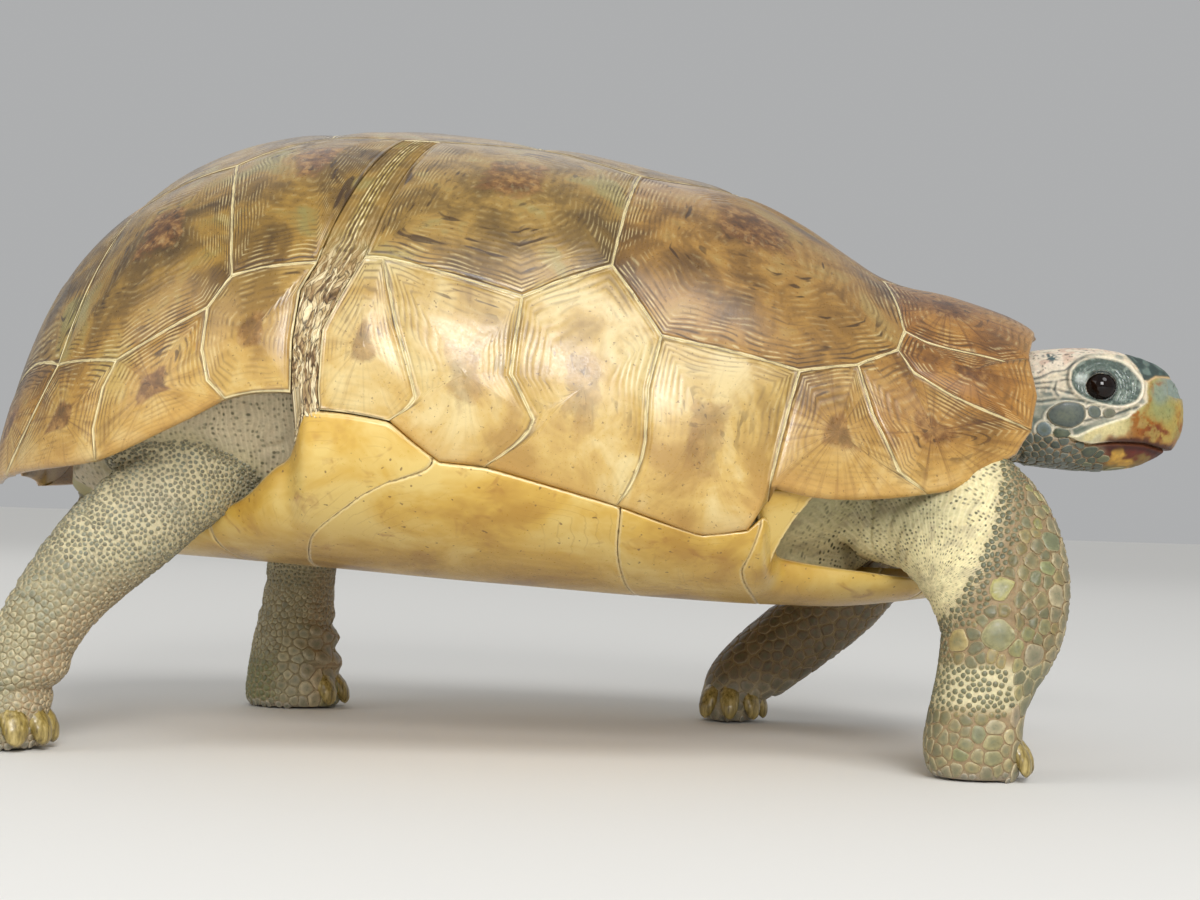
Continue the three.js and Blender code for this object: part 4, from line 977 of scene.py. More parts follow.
# Marks on the head's side, as (x, z): the rim of the orbit, plates, beak with its lip, and mouth.
ORBIT = [(86.3, 70.9), (88, 72.7), (90.8, 73.7), (94, 73.6), (96.9, 72.8), (98.8, 71.1), (100.1, 69.2),
         (99.9, 67), (98.6, 65.4), (95.8, 64.5), (92.6, 64.7), (89, 65.6), (86.9, 66.9), (86, 68.8)]
EYE_SIGHT, EYE_OPENING = (92.15, 68.3), (2.65, 2.4)
LID_RADIUS = 3.55
BEAK_TOP = [(84.6, 58.9), (87.7, 58.9), (90.6, 60.4), (94.1, 61.7), (96.9, 62.6), (98.6, 63.8), (101.1, 65.6),
            (101, 67.6), (101.3, 69.4), (103, 70.4), (105.4, 70.2), (105.4, 67.3), (107, 66.8), (113, 66.8)]
MOUTH = [(82, 59.2), (86.2, 58.6), (88, 57.9), (90.3, 57.5), (93.9, 58), (97.1, 58.2), (101.2, 58.1),
         (105.3, 57.2), (113, 56.8)]
NASAL = [(98, 74.3), (97.8, 80), (113, 80), (113, 70.5), (106.4, 70.6), (103, 70.5), (101.3, 69.5),
         (100.4, 69.8), (99.7, 71.6), (98.7, 73.2)]
SKULL = [(74, 80), (98.2, 80), (98, 74.3), (93.6, 74.5), (89.1, 73.8), (86.2, 71.3), (83.9, 70.4), (81, 69.5),
         (74, 69)]
CREASES = [[(76, 67.3), (82, 67.6), (86.4, 66.6)], [(76, 65), (81, 65), (84.5, 65.6), (88.5, 65.2)],
           [(89, 61.4), (92, 62.2), (96.1, 63.5), (99.4, 64.7)]]
NOSTRIL = (107.4, 68.7)


def off_line(line, q, closed=False):
    """Distance of (x, z) points from a line; for a closed outline, positive inside and negative outside."""
    line = np.array(line, float)
    far, odd = np.full(len(q), np.inf), np.zeros(len(q), bool)
    pairs = zip(line, np.roll(line, -1, 0)) if closed else zip(line[:-1], line[1:])
    for a, b in pairs:
        t = np.clip((q - a) @ (b - a) / ((b - a) @ (b - a)), 0, 1)
        far = np.minimum(far, np.linalg.norm(q - a - t[:, None] * (b - a), axis=-1))
        if closed and a[1] != b[1]:
            crossing = (b[0] - a[0]) * (q[:, 1] - a[1]) / (b[1] - a[1]) + a[0]
            odd ^= ((a[1] > q[:, 1]) != (b[1] > q[:, 1])) & (q[:, 0] < crossing)
    return np.where(odd, far, -far) if closed else far


def rounded(outline, count=90):
    return between(outline + outline[:1], count)[:-1]


def under_mouth(q):
    """How far (x, z) points lie below the line of the mouth."""
    return np.interp(q[:, 0], *np.array(MOUTH).T) - q[:, 1]


BEAK = BEAK_TOP + MOUTH[::-1]
orbit_outline = rounded(ORBIT)


def shape_head(p, n):
    """Presses the orbits, lids, beak, mouth, plates and nostrils into the smooth head."""
    q, side = p[:, [0, 2]], np.sign(p[:, 1])
    flank = step(np.abs(n[:, 1]), 0.2, 0.55)
    orbit = off_line(orbit_outline, q, closed=True)
    from_eye = q - EYE_SIGHT
    near_eye = np.hypot(*from_eye.T)
    sight = np.hypot(*(from_eye / EYE_OPENING).T)
    grow = 0.5 * np.exp(-(orbit / 0.42) ** 2) * flank
    grow += (0.55 * np.exp(-((q[:, 1] - 73.4) / 1.6) ** 2)
             * step(q[:, 0], 85, 89) * (1 - step(q[:, 0], 96, 100)) * flank)
    grow -= 0.75 * step(orbit, 0.25, 1.3) * flank
    folds = (0.1 * np.cos(2 * np.pi * near_eye / 0.62 + 2 * value_noise(p * 0.9, 21))
             * step(orbit, 0.4, 1) * flank)
    grow += folds
    beak = off_line(BEAK, q, closed=True)
    grow += 0.34 * step(beak, -0.12, 0.16)
    below = under_mouth(q)
    ahead = step(q[:, 0], 85.2, 87)
    grow -= 1.1 * np.exp(-((below - 0.32) / 0.26) ** 2) * ahead
    grow -= 0.25 * step(below, 0.1, 0.5) * (1 - step(below, 2.5, 4)) * ahead
    for line in CREASES:
        grow -= 0.22 * np.exp(-(off_line(line, q) / 0.2) ** 2) * flank
    grow += 0.16 * step(off_line(NASAL, q, closed=True), -0.05, 0.3)
    grow += 0.14 * step(off_line(SKULL, q, closed=True), -0.05, 0.3)
    hole = np.hypot(*(q - NOSTRIL).T)
    nose = (np.abs(p[:, 1]) > 0.9) & (q[:, 0] > 105)
    grow += nose * (0.18 * np.exp(-((hole - 0.75) / 0.3) ** 2) - 1.3 * np.exp(-(hole / 0.38) ** 2))
    grow += 0.12 * (value_noise(p * 0.8, 22) - 0.5) + 0.07 * (value_noise(p * 2.2, 23) - 0.5)
    p = p + n * grow[:, None]
    # The lids lie on the eyeball like a rind, and open round the black eye.
    inside_lid = np.clip(LID_RADIUS**2 - near_eye**2, 0, None)
    lid = EYE[1] + np.sqrt(inside_lid) - 9 * step(near_eye, LID_RADIUS - 0.25, LID_RADIUS)
    soft = 0.3
    depth = np.abs(p[:, 1])
    blended = soft * np.logaddexp(depth / soft, lid / soft)
    behind = EYE[1] + np.sqrt(np.clip(2.5**2 - near_eye**2, 0, None)) * 0.6
    opened = step(sight, 0.98, 1.1)
    blended = behind + (blended - behind) * opened
    at_eye = (near_eye < LID_RADIUS + 0.6) & (flank > 0.2)
    p[:, 1] = np.where(at_eye, side * blended, p[:, 1])
    return p


def wrinkles(p, n, where):
    """How far loose skin stands out: fine ridges square to each limb, deep folds at knee, elbow and neck."""
    part, run, share, _ = where
    rise = np.zeros(len(p))
    wander = value_noise(p * 0.35, 31)
    fine = np.cos(2 * np.pi * (run / 1.3 + 1.2 * wander))
    for name, amount, high, low in (
            ("front_right", 0.13, 0.02, 0.62), ("front_left", 0.12, 0.02, 0.6),
            ("rear_right", 0.1, 0.02, 0.75), ("rear_left", 0.1, 0.02, 0.7)):
        here = (part == PARTS[name]) * step(share, high, high + 0.05) * (1 - step(share, low, low + 0.12))
        rise += here * amount * fine * (0.5 + wander)
        slow = np.cos(2 * np.pi * (run / 5.2 + 1.6 * value_noise(p * 0.13, 32)))
        rise -= here * 0.34 * step(slow, 0.45, 1) * step(-n[:, 0], -0.4, 0.5)
    ankle = (part == PARTS["rear_right"]) * 1.0
    rise += ankle * (0.6 * np.exp(-((p[:, 2] - 13) / 1.5) ** 2) - 0.8 * np.exp(-((p[:, 2] - 9.8) / 0.9) ** 2))
    slack = ((part == PARTS["rear_left"]) * step(n[:, 0], -0.1, 0.6)
             * step(p[:, 2], 5, 8) * (1 - step(p[:, 2], 17, 21)))
    rise += slack * 0.6 * np.cos(2 * np.pi * (p[:, 2] + 2.5 * n[:, 0] - 17) / 5.2)
    neck_part = (part == PARTS["head"]) & (p[:, 0] < 84)
    rise += (neck_part * 0.22 * np.cos(2 * np.pi * (p[:, 0] / 2.6 + 1.4 * wander))
             * (1 - step(p[:, 0], 76, 82)))
    rise += 0.1 * (value_noise(p * 0.9, 33) - 0.5) * (p[:, 0] < 78)
    return rise


skin_points, skin_quads = one_skin()
skin_points = unwarped(smoothed(skin_points, skin_quads, 6))
skin_normals = normals_of(skin_points, skin_quads)
skin_where = on_parts(skin_points)
skin_rise = wrinkles(skin_points, skin_normals, skin_where) - SKIN_DEPTH
skin_points = skin_points + skin_normals * skin_rise[:, None]
on_head = skin_points[:, 0] > 79
skin_points[on_head] = shape_head(skin_points[on_head], skin_normals[on_head])
skin_points[:, 2] = np.maximum(skin_points[:, 2], SKIN_LEVEL)
skin_normals = normals_of(skin_points, skin_quads)
skin = make_piece("skin", skin_points, [skin_quads])
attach(skin, "root")
for name in ("trunk", "neck", "head", "tail", "leg_front_right", "leg_front_left", "leg_rear_right",
             "leg_rear_left"):
    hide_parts(name)

# ------------------------------------------------------------------ markings
# Skin and scales share one set of markings: cream and grey-green on the head, a horn beak stained rust, cream
# skin with olive scales on the forelegs, and grey-cream on the hind legs and tail.
def lay(colours, colour, share):
    """Lays a colour over others, by a share for each point."""
    return colours + (np.array(linear(colour)[:3]) - colours) * np.clip(share, 0, 1)[:, None]


def painted(colours, *marks):
    """Lays marks in order, each a colour and its share."""
    for colour, share in marks:
        colours = lay(colours, colour, share)
    return colours


def spot(q, x, z, across, high=None, edge=0.35):
    """A soft-edged oval mark on the side view, 1 inside."""
    return 1 - step(np.hypot((q[:, 0] - x) / across, (q[:, 1] - z) / (high or across)), 1 - edge, 1 + edge)


# Scales of the head's side: x, z, half length, half height, turn in degrees and colour.
HEAD_SCALES = [
    (85.5, 62.6, 3.3, 2.15, 14, "#46534f"), (90.6, 63.4, 1.25, 0.95, -22, "#59655f"),
    (93.5, 63.3, 1.15, 0.75, 5, "#7c7c66"), (81.7, 59.9, 1.25, 1.3, 0, "#71868b"),
    (84.8, 59.3, 1.45, 0.95, 0, "#4d5a48"), (86.2, 56.4, 1.15, 0.85, 10, "#55605a"),
    (90.4, 56.1, 1.7, 1.15, 8, "#4f5a4a"), (88.3, 55.3, 1.0, 0.8, 0, "#5b655c"),
    (83.9, 57.2, 1.1, 0.75, 0, "#4e5a56"), (81.7, 57.2, 1.0, 0.7, 0, "#59645c"),
    (88.4, 57.2, 0.9, 0.6, 0, "#4c5850"), (93.2, 54.9, 1.3, 0.8, 0, "#6f7048"),
    (90.8, 53.9, 1.2, 0.7, 0, "#66704e"), (96.3, 53.3, 1.9, 0.7, 0, "#7b7a4c"),
]
TEMPLE_LINES = [[(79, 69), (80.7, 69.5), (83, 70.6), (85.2, 70.9), (86.5, 72), (88.7, 73.4), (91.4, 73.7)],
                [(78, 68.1), (83, 68.7), (85.4, 69.2), (86.6, 69)],
                [(83.6, 68.6), (83.2, 67.2), (83.9, 66.1)], [(86.9, 62.3), (88.6, 63.8), (91.5, 64.3)],
                [(87, 61.2), (90.5, 62.2), (94.5, 63), (97.6, 64.3)]]


def bare_line(z):
    """Where the near foreleg's loose bare skin ends and its scales begin, by height."""
    return np.interp(z, [18, 23, 27, 33, 38, 45, 54], [54, 56, 58.5, 62, 64.5, 67, 68.5])


def paint_skin(p, n, where):
    """The colour of the skin at each point."""
    part, _, _, reach = where
    colours = np.tile(np.array(linear("#b8aa82")[:3]), (len(p), 1))
    soft, rough, fine = (value_noise(p * scale, seed) for scale, seed in ((0.22, 41), (0.7, 42), (2.2, 43)))
    near, far = part == PARTS["front_right"], part == PARTS["front_left"]
    bare = step(bare_line(p[:, 2]) - p[:, 0], -2.5, 2.5)
    colours = painted(
        colours, ("#d3c798", near * (0.35 + 0.65 * bare)),
        ("#8a7354", near * (1 - bare) * 0.9),
        ("#a39d78", near * bare * step(p[:, 2], 37, 44) * (1 - step(p[:, 0], 54, 64)) * 0.8),
        ("#d9cfa6", near * (1 - step(np.abs(p[:, 2] - 15.5), 2.5, 5)) * 0.75),
        ("#8f8268", near * bare * step(rough, 0.62, 0.8) * 0.5),
        ("#84714e", far * 0.85 * step(-reach, -1.6, -1.25)),
        ("#b0a488", far * (1 - step(p[:, 2], 6, 12)) * 0.8))
    hind = np.isin(part, HIND_LEGS)
    shin = hind * step(p[:, 2], 34, 22)
    colours = painted(
        colours, ("#bbaf8c", hind * 0.95),
        ("#9a9078", hind * step(soft, 0.5, 0.75) * 0.5),
        ("#bdae90", hind * step(reach, 1.4, 1.9) * 0.8),
        ("#7d7355", shin * 0.85),
        ("#a98a68", shin * step(n[:, 0], 0.1, 0.7) * 0.6),
        ("#a8a070", (part == PARTS["tail"]) * 0.8),
        ("#9a8d78", 0.9 * (1 - step(p[:, 2], 0.8, 2.4))))
    head = step(p[:, 0], 76, 80) * (part == PARTS["head"])
    q = p[:, [0, 2]]

    def on(mask):
        return head * mask

    colours = painted(
        colours, ("#a3927a", on(1 + 0 * soft)),
        ("#cdbfa4", on(step(q[:, 1], 57.5, 60))),
        ("#6d7670", on(step(rough, 0.5, 0.68) * step(q[:, 1], 62, 64) * 0.75)))
    cheek = step(q[:, 1], 58.2, 59.4) * (1 - step(q[:, 1], 65.5, 67)) * (1 - step(q[:, 0], 96.5, 98.5))
    colours = lay(colours, "#6a776d", on(cheek * (0.6 + 0.4 * rough)))
    halo, ring = np.zeros((2, len(p)))
    for x, z, long, high, turn, _ in HEAD_SCALES:
        c, s = math.cos(math.radians(turn)), math.sin(math.radians(turn))
        along, over = (q[:, 0] - x) * c + (q[:, 1] - z) * s, (q[:, 1] - z) * c - (q[:, 0] - x) * s
        size = math.sqrt(long * high)
        gap = (np.hypot(along / long, over / high) - 1.1) * size
        halo = np.maximum(halo, 1 - step(gap, 0.7, 0.9))
        ring = np.maximum(ring, np.exp(-((gap - 0.25) / 0.26) ** 2))
    upper = step(q[:, 1], 57.6, 58.8)
    colours = painted(
        colours, ("#4a5650", on(halo * upper * 0.7)),
        ("#ddd3bc", on(ring * upper * 0.9)),
        ("#a97f5a", on(ring * (1 - upper) * 0.5)))
    skull = off_line(SKULL, q, closed=True)
    colours = painted(
        colours, ("#dccfb9", on(step(skull, -0.2, 0.4))),
        ("#c39f8a", on(step(skull, 0, 1.2) * step(rough, 0.55, 0.75) * 0.6)),
        ("#4c4a44", on(step(skull, 0, 0.8) * step(fine, 0.72, 0.82) * 0.7)),
        ("#3e5457", on(spot(q, 83, 73.4, 1.3, 0.8, 0.6) * step(fine, 0.3, 0.6))))
    temple = spot(q, 82, 67, 6, 3, 0.4)
    colours = lay(colours, "#7f8a82", on(temple * step(soft * 0.5 + fine * 0.5, 0.4, 0.62) * 0.75))
    for x, z, across, high in ((82.1, 67, 1.6, 0.9), (86.2, 67.2, 0.8, 0.6), (85.6, 69.9, 1, 0.4)):
        colours = lay(colours, "#5f6c66", on(spot(q, x, z, across, high, 0.5) * step(fine, 0.25, 0.6) * 0.8))
    for line in CREASES + TEMPLE_LINES:
        colours = painted(
            colours, ("#3f4642", on(0.85 * np.exp(-(off_line(line, q) / 0.17) ** 2))),
            ("#ddd0b6", on(0.6 * np.exp(-((off_line(line, q) - 0.5) / 0.22) ** 2))))
    nasal = off_line(NASAL, q, closed=True)
    colours = painted(
        colours, ("#35433f", on(step(nasal, -0.1, 0.15))),
        ("#66766d", on(step(nasal, 0.2, 0.8) * step(rough, 0.5, 0.7) * 0.8)))
    beak = off_line(BEAK, q, closed=True)
    front = step(q[:, 0], 99, 107)
    snout = step(q[:, 0], 104.6, 105.4) * step(q[:, 1], 65.8, 66.6) * (1 - step(q[:, 1], 70.2, 70.7))
    colours = lay(colours, "#7f8a80", on(snout))
    groove = step(q[:, 0], 85.5, 87.5) * (1 - step(q[:, 0], 97.5, 99.5))
    colours = painted(
        colours, ("#4f5d50", on(0.85 * groove * np.exp(-((beak + 0.85) / 0.36) ** 2) * (0.5 + 0.5 * rough))),
        ("#968a4c", on(step(beak, -0.1, 0.15))))
    horn_beak = on(step(beak, 0, 0.3))
    colours = painted(
        colours, ("#aa9044", horn_beak * front * step(soft, 0.3, 0.6)),
        ("#868a5a", horn_beak * spot(q, 104.3, 64.6, 2.6, 1.9, 0.6) * (0.4 + 0.6 * rough)))
    lip = step(beak, 0, 0.3) * (1 - step(q[:, 0] + 2.5 * (rough - 0.5), 93, 101))
    colours = painted(
        colours, ("#cfc18c", on(lip)),
        ("#aeb09a", on(lip * step(rough, 0.5, 0.7) * 0.5)),
        ("#e6dcbc", on(groove * np.exp(-((beak - 0.05) / 0.2) ** 2))),
        ("#75867a", horn_beak * spot(q, 103.6, 67.6, 1.8, 2.2, 0.5) * 0.75))
    rust = step(rough * 0.6 + fine * 0.4, 0.44, 0.62)
    warp = np.stack([value_noise(p * 0.8 + 30 * k, 44 + k) for k in (0, 1)], -1) - 0.5
    q = q + 2.2 * warp
    above = -under_mouth(q)
    edge_stain = step(q[:, 0], 90.5, 95) * (1 - step(above, 0.3, 1.4 + 2 * rough))
    colours = painted(
        colours, ("#8c5218", horn_beak * edge_stain * 0.8),
        ("#4e2610", horn_beak * step(q[:, 0], 92, 96) * (1 - step(above, 0.1, 0.5 + 0.8 * fine)) * 0.85))
    for x, z, across, high, amount in (
            (102, 60.6, 3.2, 1.9, 1), (108.4, 61, 0.8, 3.4, 0.9), (101, 66.4, 0.55, 3, 0.95),
            (99.3, 63.2, 1.9, 1.2, 0.95), (103.5, 69.3, 1.2, 0.5, 0.8), (98.8, 61, 1.5, 2.4, 0.75)):
        colours = lay(colours, "#8f5210", horn_beak * spot(q, x, z, across, high, 0.5) * amount
                      * (0.35 + 0.65 * rust))
    colours = painted(
        colours, ("#6f3413", horn_beak * spot(q, 103.3, 60, 2.6, 1.3, 0.6) * rust),
        ("#7c8782", horn_beak * spot(q, 107.3, 68.8, 2, 1.9, 0.4) * 0.85))
    q = p[:, [0, 2]]
    snout = step(q[:, 0], 102.5, 106) * step(q[:, 1], 65, 68.5) * (1 - step(q[:, 1], 70.2, 70.7))
    colours = lay(colours, "#7f8a80", on(snout * (0.6 + 0.4 * rough)))
    edge = np.exp(-(nasal / 0.22) ** 2) * step(q[:, 0], 100.6, 101.4) * (q[:, 1] < 71.2)
    colours = lay(colours, "#c9a674", on(edge * 0.8))
    below = under_mouth(q)
    jaw = step(q[:, 0] + 2 * rough, 91.5, 96) * step(below, -0.1, 0.3)
    colours = painted(colours, ("#5f2f1b", on(jaw)), ("#827d4e", on(jaw * step(below, 3.6, 5))))
    drift = q + 1.8 * warp
    colours = painted(
        colours, ("#8a7038", on(jaw * spot(drift, 101.6, 54.4, 1.9, 1.1, 0.5) * 0.8)),
        ("#6e2a20", on(jaw * spot(drift, 99.8, 56.8, 2, 1.1, 0.5) * 0.8)))
    for x, z, across, high in ((96.1, 56, 0.9, 1.5), (97.3, 54.5, 2.5, 1), (93.4, 54.2, 0.8, 0.5)):
        colours = lay(
            colours, "#c99c44", on(jaw * spot(drift, x, z, across, high, 0.4) * (0.6 + 0.4 * rough)))
    # Near-black along the groove under the mouth's line, and brown along it further back, are painted shade
    # of the slit under the upper beak.
    stain_and_shade = step(q[:, 0], 91, 95) * (1 - step(np.abs(below - 0.5), 0.5, 1.1 + 0.8 * rough))
    colours = painted(
        colours, ("#381510", on(stain_and_shade * 0.92)),
        ("#6b3a1c", on(step(q[:, 0], 87, 90) * np.exp(-((below - 0.35) / 0.35) ** 2))),
        ("#c8a070", on(np.exp(-((below - 0.2) / 0.25) ** 2) * (1 - step(q[:, 0], 88, 92)) * 0.5)))
    orbit = off_line(orbit_outline, q, closed=True)
    in_orbit = step(orbit, 0.05, 0.45)
    from_eye = np.hypot(*(q - EYE_SIGHT).T)
    flank = step(np.abs(n[:, 1]), 0.1, 0.4)
    colours = painted(
        colours, ("#56625a", on(in_orbit * flank)),
        ("#949f92", on(in_orbit * flank * step(fine * 0.5 + rough * 0.5, 0.47, 0.64) * 0.7)))
    # Dark lines in the troughs between the lids' concentric folds are painted shade.
    ring = np.cos(2 * np.pi * from_eye / 0.62 + 2 * value_noise(p * 0.9, 21))
    colours = painted(
        colours, ("#2f3a37", on(in_orbit * flank * step(-ring, 0.1, 0.9) * 0.5 * step(rough, 0.25, 0.6))),
        ("#1f2624", on(flank * (1 - step(from_eye, 2.7, 3.3)) * 0.9)),
        ("#c3c9c0", on(flank * spot(q, 88.5, 69.5, 1.1, 0.9, 0.6) * (0.4 + 0.6 * rough))))
    behind = 1 - step(q[:, 0], 89, 94)
    crease = np.exp(-((orbit + 0.5) / 0.22) ** 2) * behind * step(q[:, 1], 66.5, 68)
    colours = lay(colours, "#454f4b", on(crease * flank * 0.7))
    rim = np.exp(-(orbit / (0.25 - 0.09 * behind)) ** 2) * flank
    return lay(colours, "#e2d8bf", on(rim * (1 - behind * (0.75 - 0.5 * rough))))


def paint_scales(p, n, where):
    """The colour of a scale that grows at each point."""
    part = where[0]
    tone, second = value_noise(p * 0.55, 51), value_noise(p * 1.9 + 40, 52)
    colours = np.tile(np.array(linear("#847b58")[:3]), (len(p), 1))
    near, far = part == PARTS["front_right"], part == PARTS["front_left"]
    colours = painted(
        colours, ("#887840", near * 1.0),
        ("#97813f", near * step(second, 0.45, 0.6)),
        ("#747048", near * step(tone, 0.5, 0.62) * 0.75),
        ("#98875f", near * step(n[:, 0], 0.45, 0.8) * 0.8))
    fringe = step(bare_line(p[:, 2]) - p[:, 0], -5.5, -2)
    colours = painted(
        colours, ("#566048", near * fringe * 0.6),
        ("#7c7d58", near * (1 - step(np.abs(p[:, 2] - 15.5), 2.5, 4.5)) * 0.7),
        ("#998a5a", near * (1 - step(p[:, 2], 8, 11)) * 0.7),
        ("#7a5c34", far * 0.85),
        ("#a0947a", far * (1 - step(p[:, 2], 6, 12)) * 0.8))
    hind = np.isin(part, HIND_LEGS)
    shin = hind * step(p[:, 2], 34, 22)
    colours = painted(
        colours, ("#8c8566", hind * 1.0),
        ("#b3a67c", shin),
        ("#8d937f", hind * step(tone, 0.55, 0.7) * 0.45),
        ("#b79a74", shin * step(n[:, 0], 0.1, 0.7) * 0.6))
    plated = np.maximum(step(-n[:, 0], 0, 0.4), step(n[:, 0], 0.5, 0.9) * (1 - step(p[:, 2], 4, 7)))
    colours = lay(colours, "#7a7a3c", (part == PARTS["rear_left"]) * (1 - step(p[:, 2], 8, 14)) * plated)
    head = step(p[:, 0], 74, 79) * (part == PARTS["head"])
    colours = painted(
        colours, ("#56615b", head),
        ("#7b8784", head * step(second, 0.5, 0.66) * 0.7),
        ("#4a5646", head * step(p[:, 0], 86, 90)))
    sole = 1 - step(p[:, 2], 0.9, 2.2)
    return lay(colours, "#a39a8c", sole * 0.8)


def leather():
    """Thick dry skin, tanned by age. It gives a dull gloss, fine pores and dark dots between its ridges."""
    made, add = finish("dry_reptile_skin", IOR=1.45, Subsurface_Weight=0.06, Subsurface_Scale=0.001)
    place = millimetres(add)
    paint = kept_shade(add, "paint", "Color")
    moist = kept_shade(add, "moist")
    dotted = kept_shade(add, "dotted")
    grain = add("TexNoise", place, 1.4, 4.0, 0.65)
    shade = remap(grain, 0.3, 0.7, 0.8, 1.15)
    colour = add("VectorMath", paint, shade, operation="SCALE")
    # Ridges about 0.9 mm apart run round each limb, with a row of dark pores in every groove.
    weft = kept_shade(add, "weft", "Vector")
    pores = add("TexVoronoi", weft, 1.0, None, None, None, 0.5, out="Distance", feature="F1")
    pore = times(remap(pores, 0.2, 0.4, 1.0, 0.0), dotted)
    colour = mix(pore, colour, "#55523a")
    count = add("SeparateXYZ", weft)
    ridge = add("Math", times(count, 6.283), operation="COSINE")
    ridge = times(ridge, times(dotted, 0.55))
    colour = mix(remap(ridge, 0.0, 0.5, 0.0, 0.25), colour, "#e9dfb8")
    rough = remap(grain, 0.3, 0.7, 0.5, 0.72)
    rough = plus(rough, add("Math", moist, -0.38, 0.0, operation="MULTIPLY_ADD"))
    relief = plus(less(grain, pore), ridge)
    wire(made, Base_Color=colour, Roughness=rough, Normal=add("Bump", 0.5, 0.0004, relief))
    return made


def set_paint(piece, colours, **shades):
    layer = piece.data.attributes.new("paint", "FLOAT_COLOR", "POINT")
    opaque = np.column_stack([colours, np.ones(len(colours))])
    layer.data.foreach_set("color", opaque.astype(np.float32).ravel())
    for name, values in shades.items():
        layer = piece.data.attributes.new(name, "FLOAT", "POINT")
        layer.data.foreach_set("value", np.asarray(values, np.float32))


skin_part, skin_run, _, skin_reach = skin_where
side_view = skin_points[:, [0, 2]]
loose = step(bare_line(skin_points[:, 2]) - skin_points[:, 0], -3, 0) * (skin_part == PARTS["front_right"])
hind_skin = np.isin(skin_part, HIND_LEGS)
moist = step(off_line(orbit_outline, side_view, closed=True), 0, 0.6) * (skin_points[:, 0] > 80)
moist += step(off_line(BEAK, side_view, closed=True), 0, 0.4) * 0.7 * (skin_points[:, 0] > 80)
# Ridges fan out from the near elbow's crook, and elsewhere run square to the limb.
ELBOW = (55.7, 31.3)
from_elbow = side_view - ELBOW
fan = np.arctan2(from_elbow[:, 1], from_elbow[:, 0]) / 0.055
spread = np.hypot(*from_elbow.T)
near_leg = skin_part == PARTS["front_right"]
drift = 1.6 * value_noise(skin_points * 0.3, 62)
groin = skin_reach > 1.35
round_limb = np.where(groin, side_view[:, 1], skin_points[:, 1] + skin_points[:, 0] * 0.7)
along_limb = np.where(groin, side_view[:, 0], skin_run) / 0.9
weft = np.stack([np.where(near_leg, fan, along_limb) + drift,
                 np.where(near_leg, spread * 1.2, round_limb) / 0.85, 0 * fan], -1)
layer = skin.data.attributes.new("weft", "FLOAT_VECTOR", "POINT")
layer.data.foreach_set("vector", weft.astype(np.float32).ravel())
set_paint(skin, paint_skin(skin_points, skin_normals, skin_where), moist=moist,
          dotted=(0.85 * loose * (1 - step(skin_reach, 1.6, 1.9))
                  + 0.5 * hind_skin * (1 - step(skin_reach, 1.2, 1.4))
                  + 0.75 * hind_skin * step(skin_reach, 1.3, 1.5))
          * (0.5 + value_noise(skin_points * 0.3, 61)))
skin.data.materials.append(leather())

# ------------------------------------------------------------------ scales
# Small horn plates that grow side by side over the skin, each a low dome pressed out by its neighbours.
# They are large on the forelegs' fronts and outer sides and on the feet, and granular on the hind legs,
# neck and throat.
SCALE_GAP = 0.14  # bare skin between two scales
SOLE_LEVEL = 0.02  # the lowest that scales and claws reach
FINE_SCALE, SMALL_SCALE, LARGE_SCALE = 0.47, 0.65, 1.3  # sizes from which a scale has more points round it
# Rings of a scale from its skirt in the skin to its crown, as shares of its reach and of its height.
LOW_PROFILE = [(0.99, -0.2), (1, 0.4), (0.8, 0.9)]
FULL_PROFILE = [(0.99, -0.2), (1, 0.52), (0.94, 0.8), (0.72, 0.95), (0.36, 1.0)]
CROWN_AND_FLOOR = [(0, 1.02), (0, -0.2)]
TALLEST_SCALE = 0.32
PATCH = 0.003  # how far a scale's patch reaches across the unwrap
COVERED = (-52, 24)  # where the shell hides the skin, along x
CROWDING = 0.84  # how much nearer than the sum of their radii two scales may stand
# Large scales of the near foreleg: x, z, half length, half height, turn in degrees and colour.
FORELEG_SCALES = [
    (75.2, 39.5, 2.4, 2.1, 0, "#74784f"), (74.3, 35.2, 1.6, 1.4, 0, "#7d8148"),
    (66.4, 31.8, 2.5, 1.9, 5, "#9c9440"), (72.0, 33.5, 1.5, 1.3, 0, "#7a7a4c"),
    (75.6, 30.8, 1.5, 2.8, 8, "#a0916a"), (66.1, 24.2, 3.0, 2.3, 12, "#8a8550"),
    (59.6, 22.9, 2.3, 1.7, 25, "#a8924a"), (71.6, 20.9, 1.7, 2.5, -20, "#978a68"),
    (73.4, 25.6, 1.3, 1.9, 10, "#948a50"), (70.6, 24.6, 1.4, 1.2, 0, "#8f8a48"),
    (68.9, 11.2, 1.3, 2.0, 8, "#a8916c"), (69.2, 15.1, 1.1, 1.5, 0, "#a09254"),
    (72.9, 42.5, 1.8, 1.3, 0, "#9c9440"), (74.9, 45.0, 1.4, 1.1, 0, "#8f8a48"),
    (73.6, 47.0, 1.3, 1.1, 0, "#a09650"), (72.0, 48.4, 1.1, 0.9, 0, "#a89e4c"),
    (65.5, 9.2, 1.7, 1.1, 5, "#a3956c"), (62.8, 8.0, 1.3, 1.3, 0, "#8d8c5c"),
    (65.4, 6.7, 1.8, 1.2, 0, "#a09458"), (60.7, 6.3, 1.4, 1.2, 0, "#9c9058"),
    (60.0, 4.6, 1.4, 1.0, 0, "#8a8a50"), (65.5, 4.1, 1.8, 1.2, 0, "#98905a"),
    (68.2, 7.6, 1.1, 1.2, 0, "#aa9a66"), (68.5, 19.4, 1.5, 1.4, 0, "#9a8e50"),
    (68.6, 22.0, 1.2, 1.5, 0, "#8f8a4c"),
]


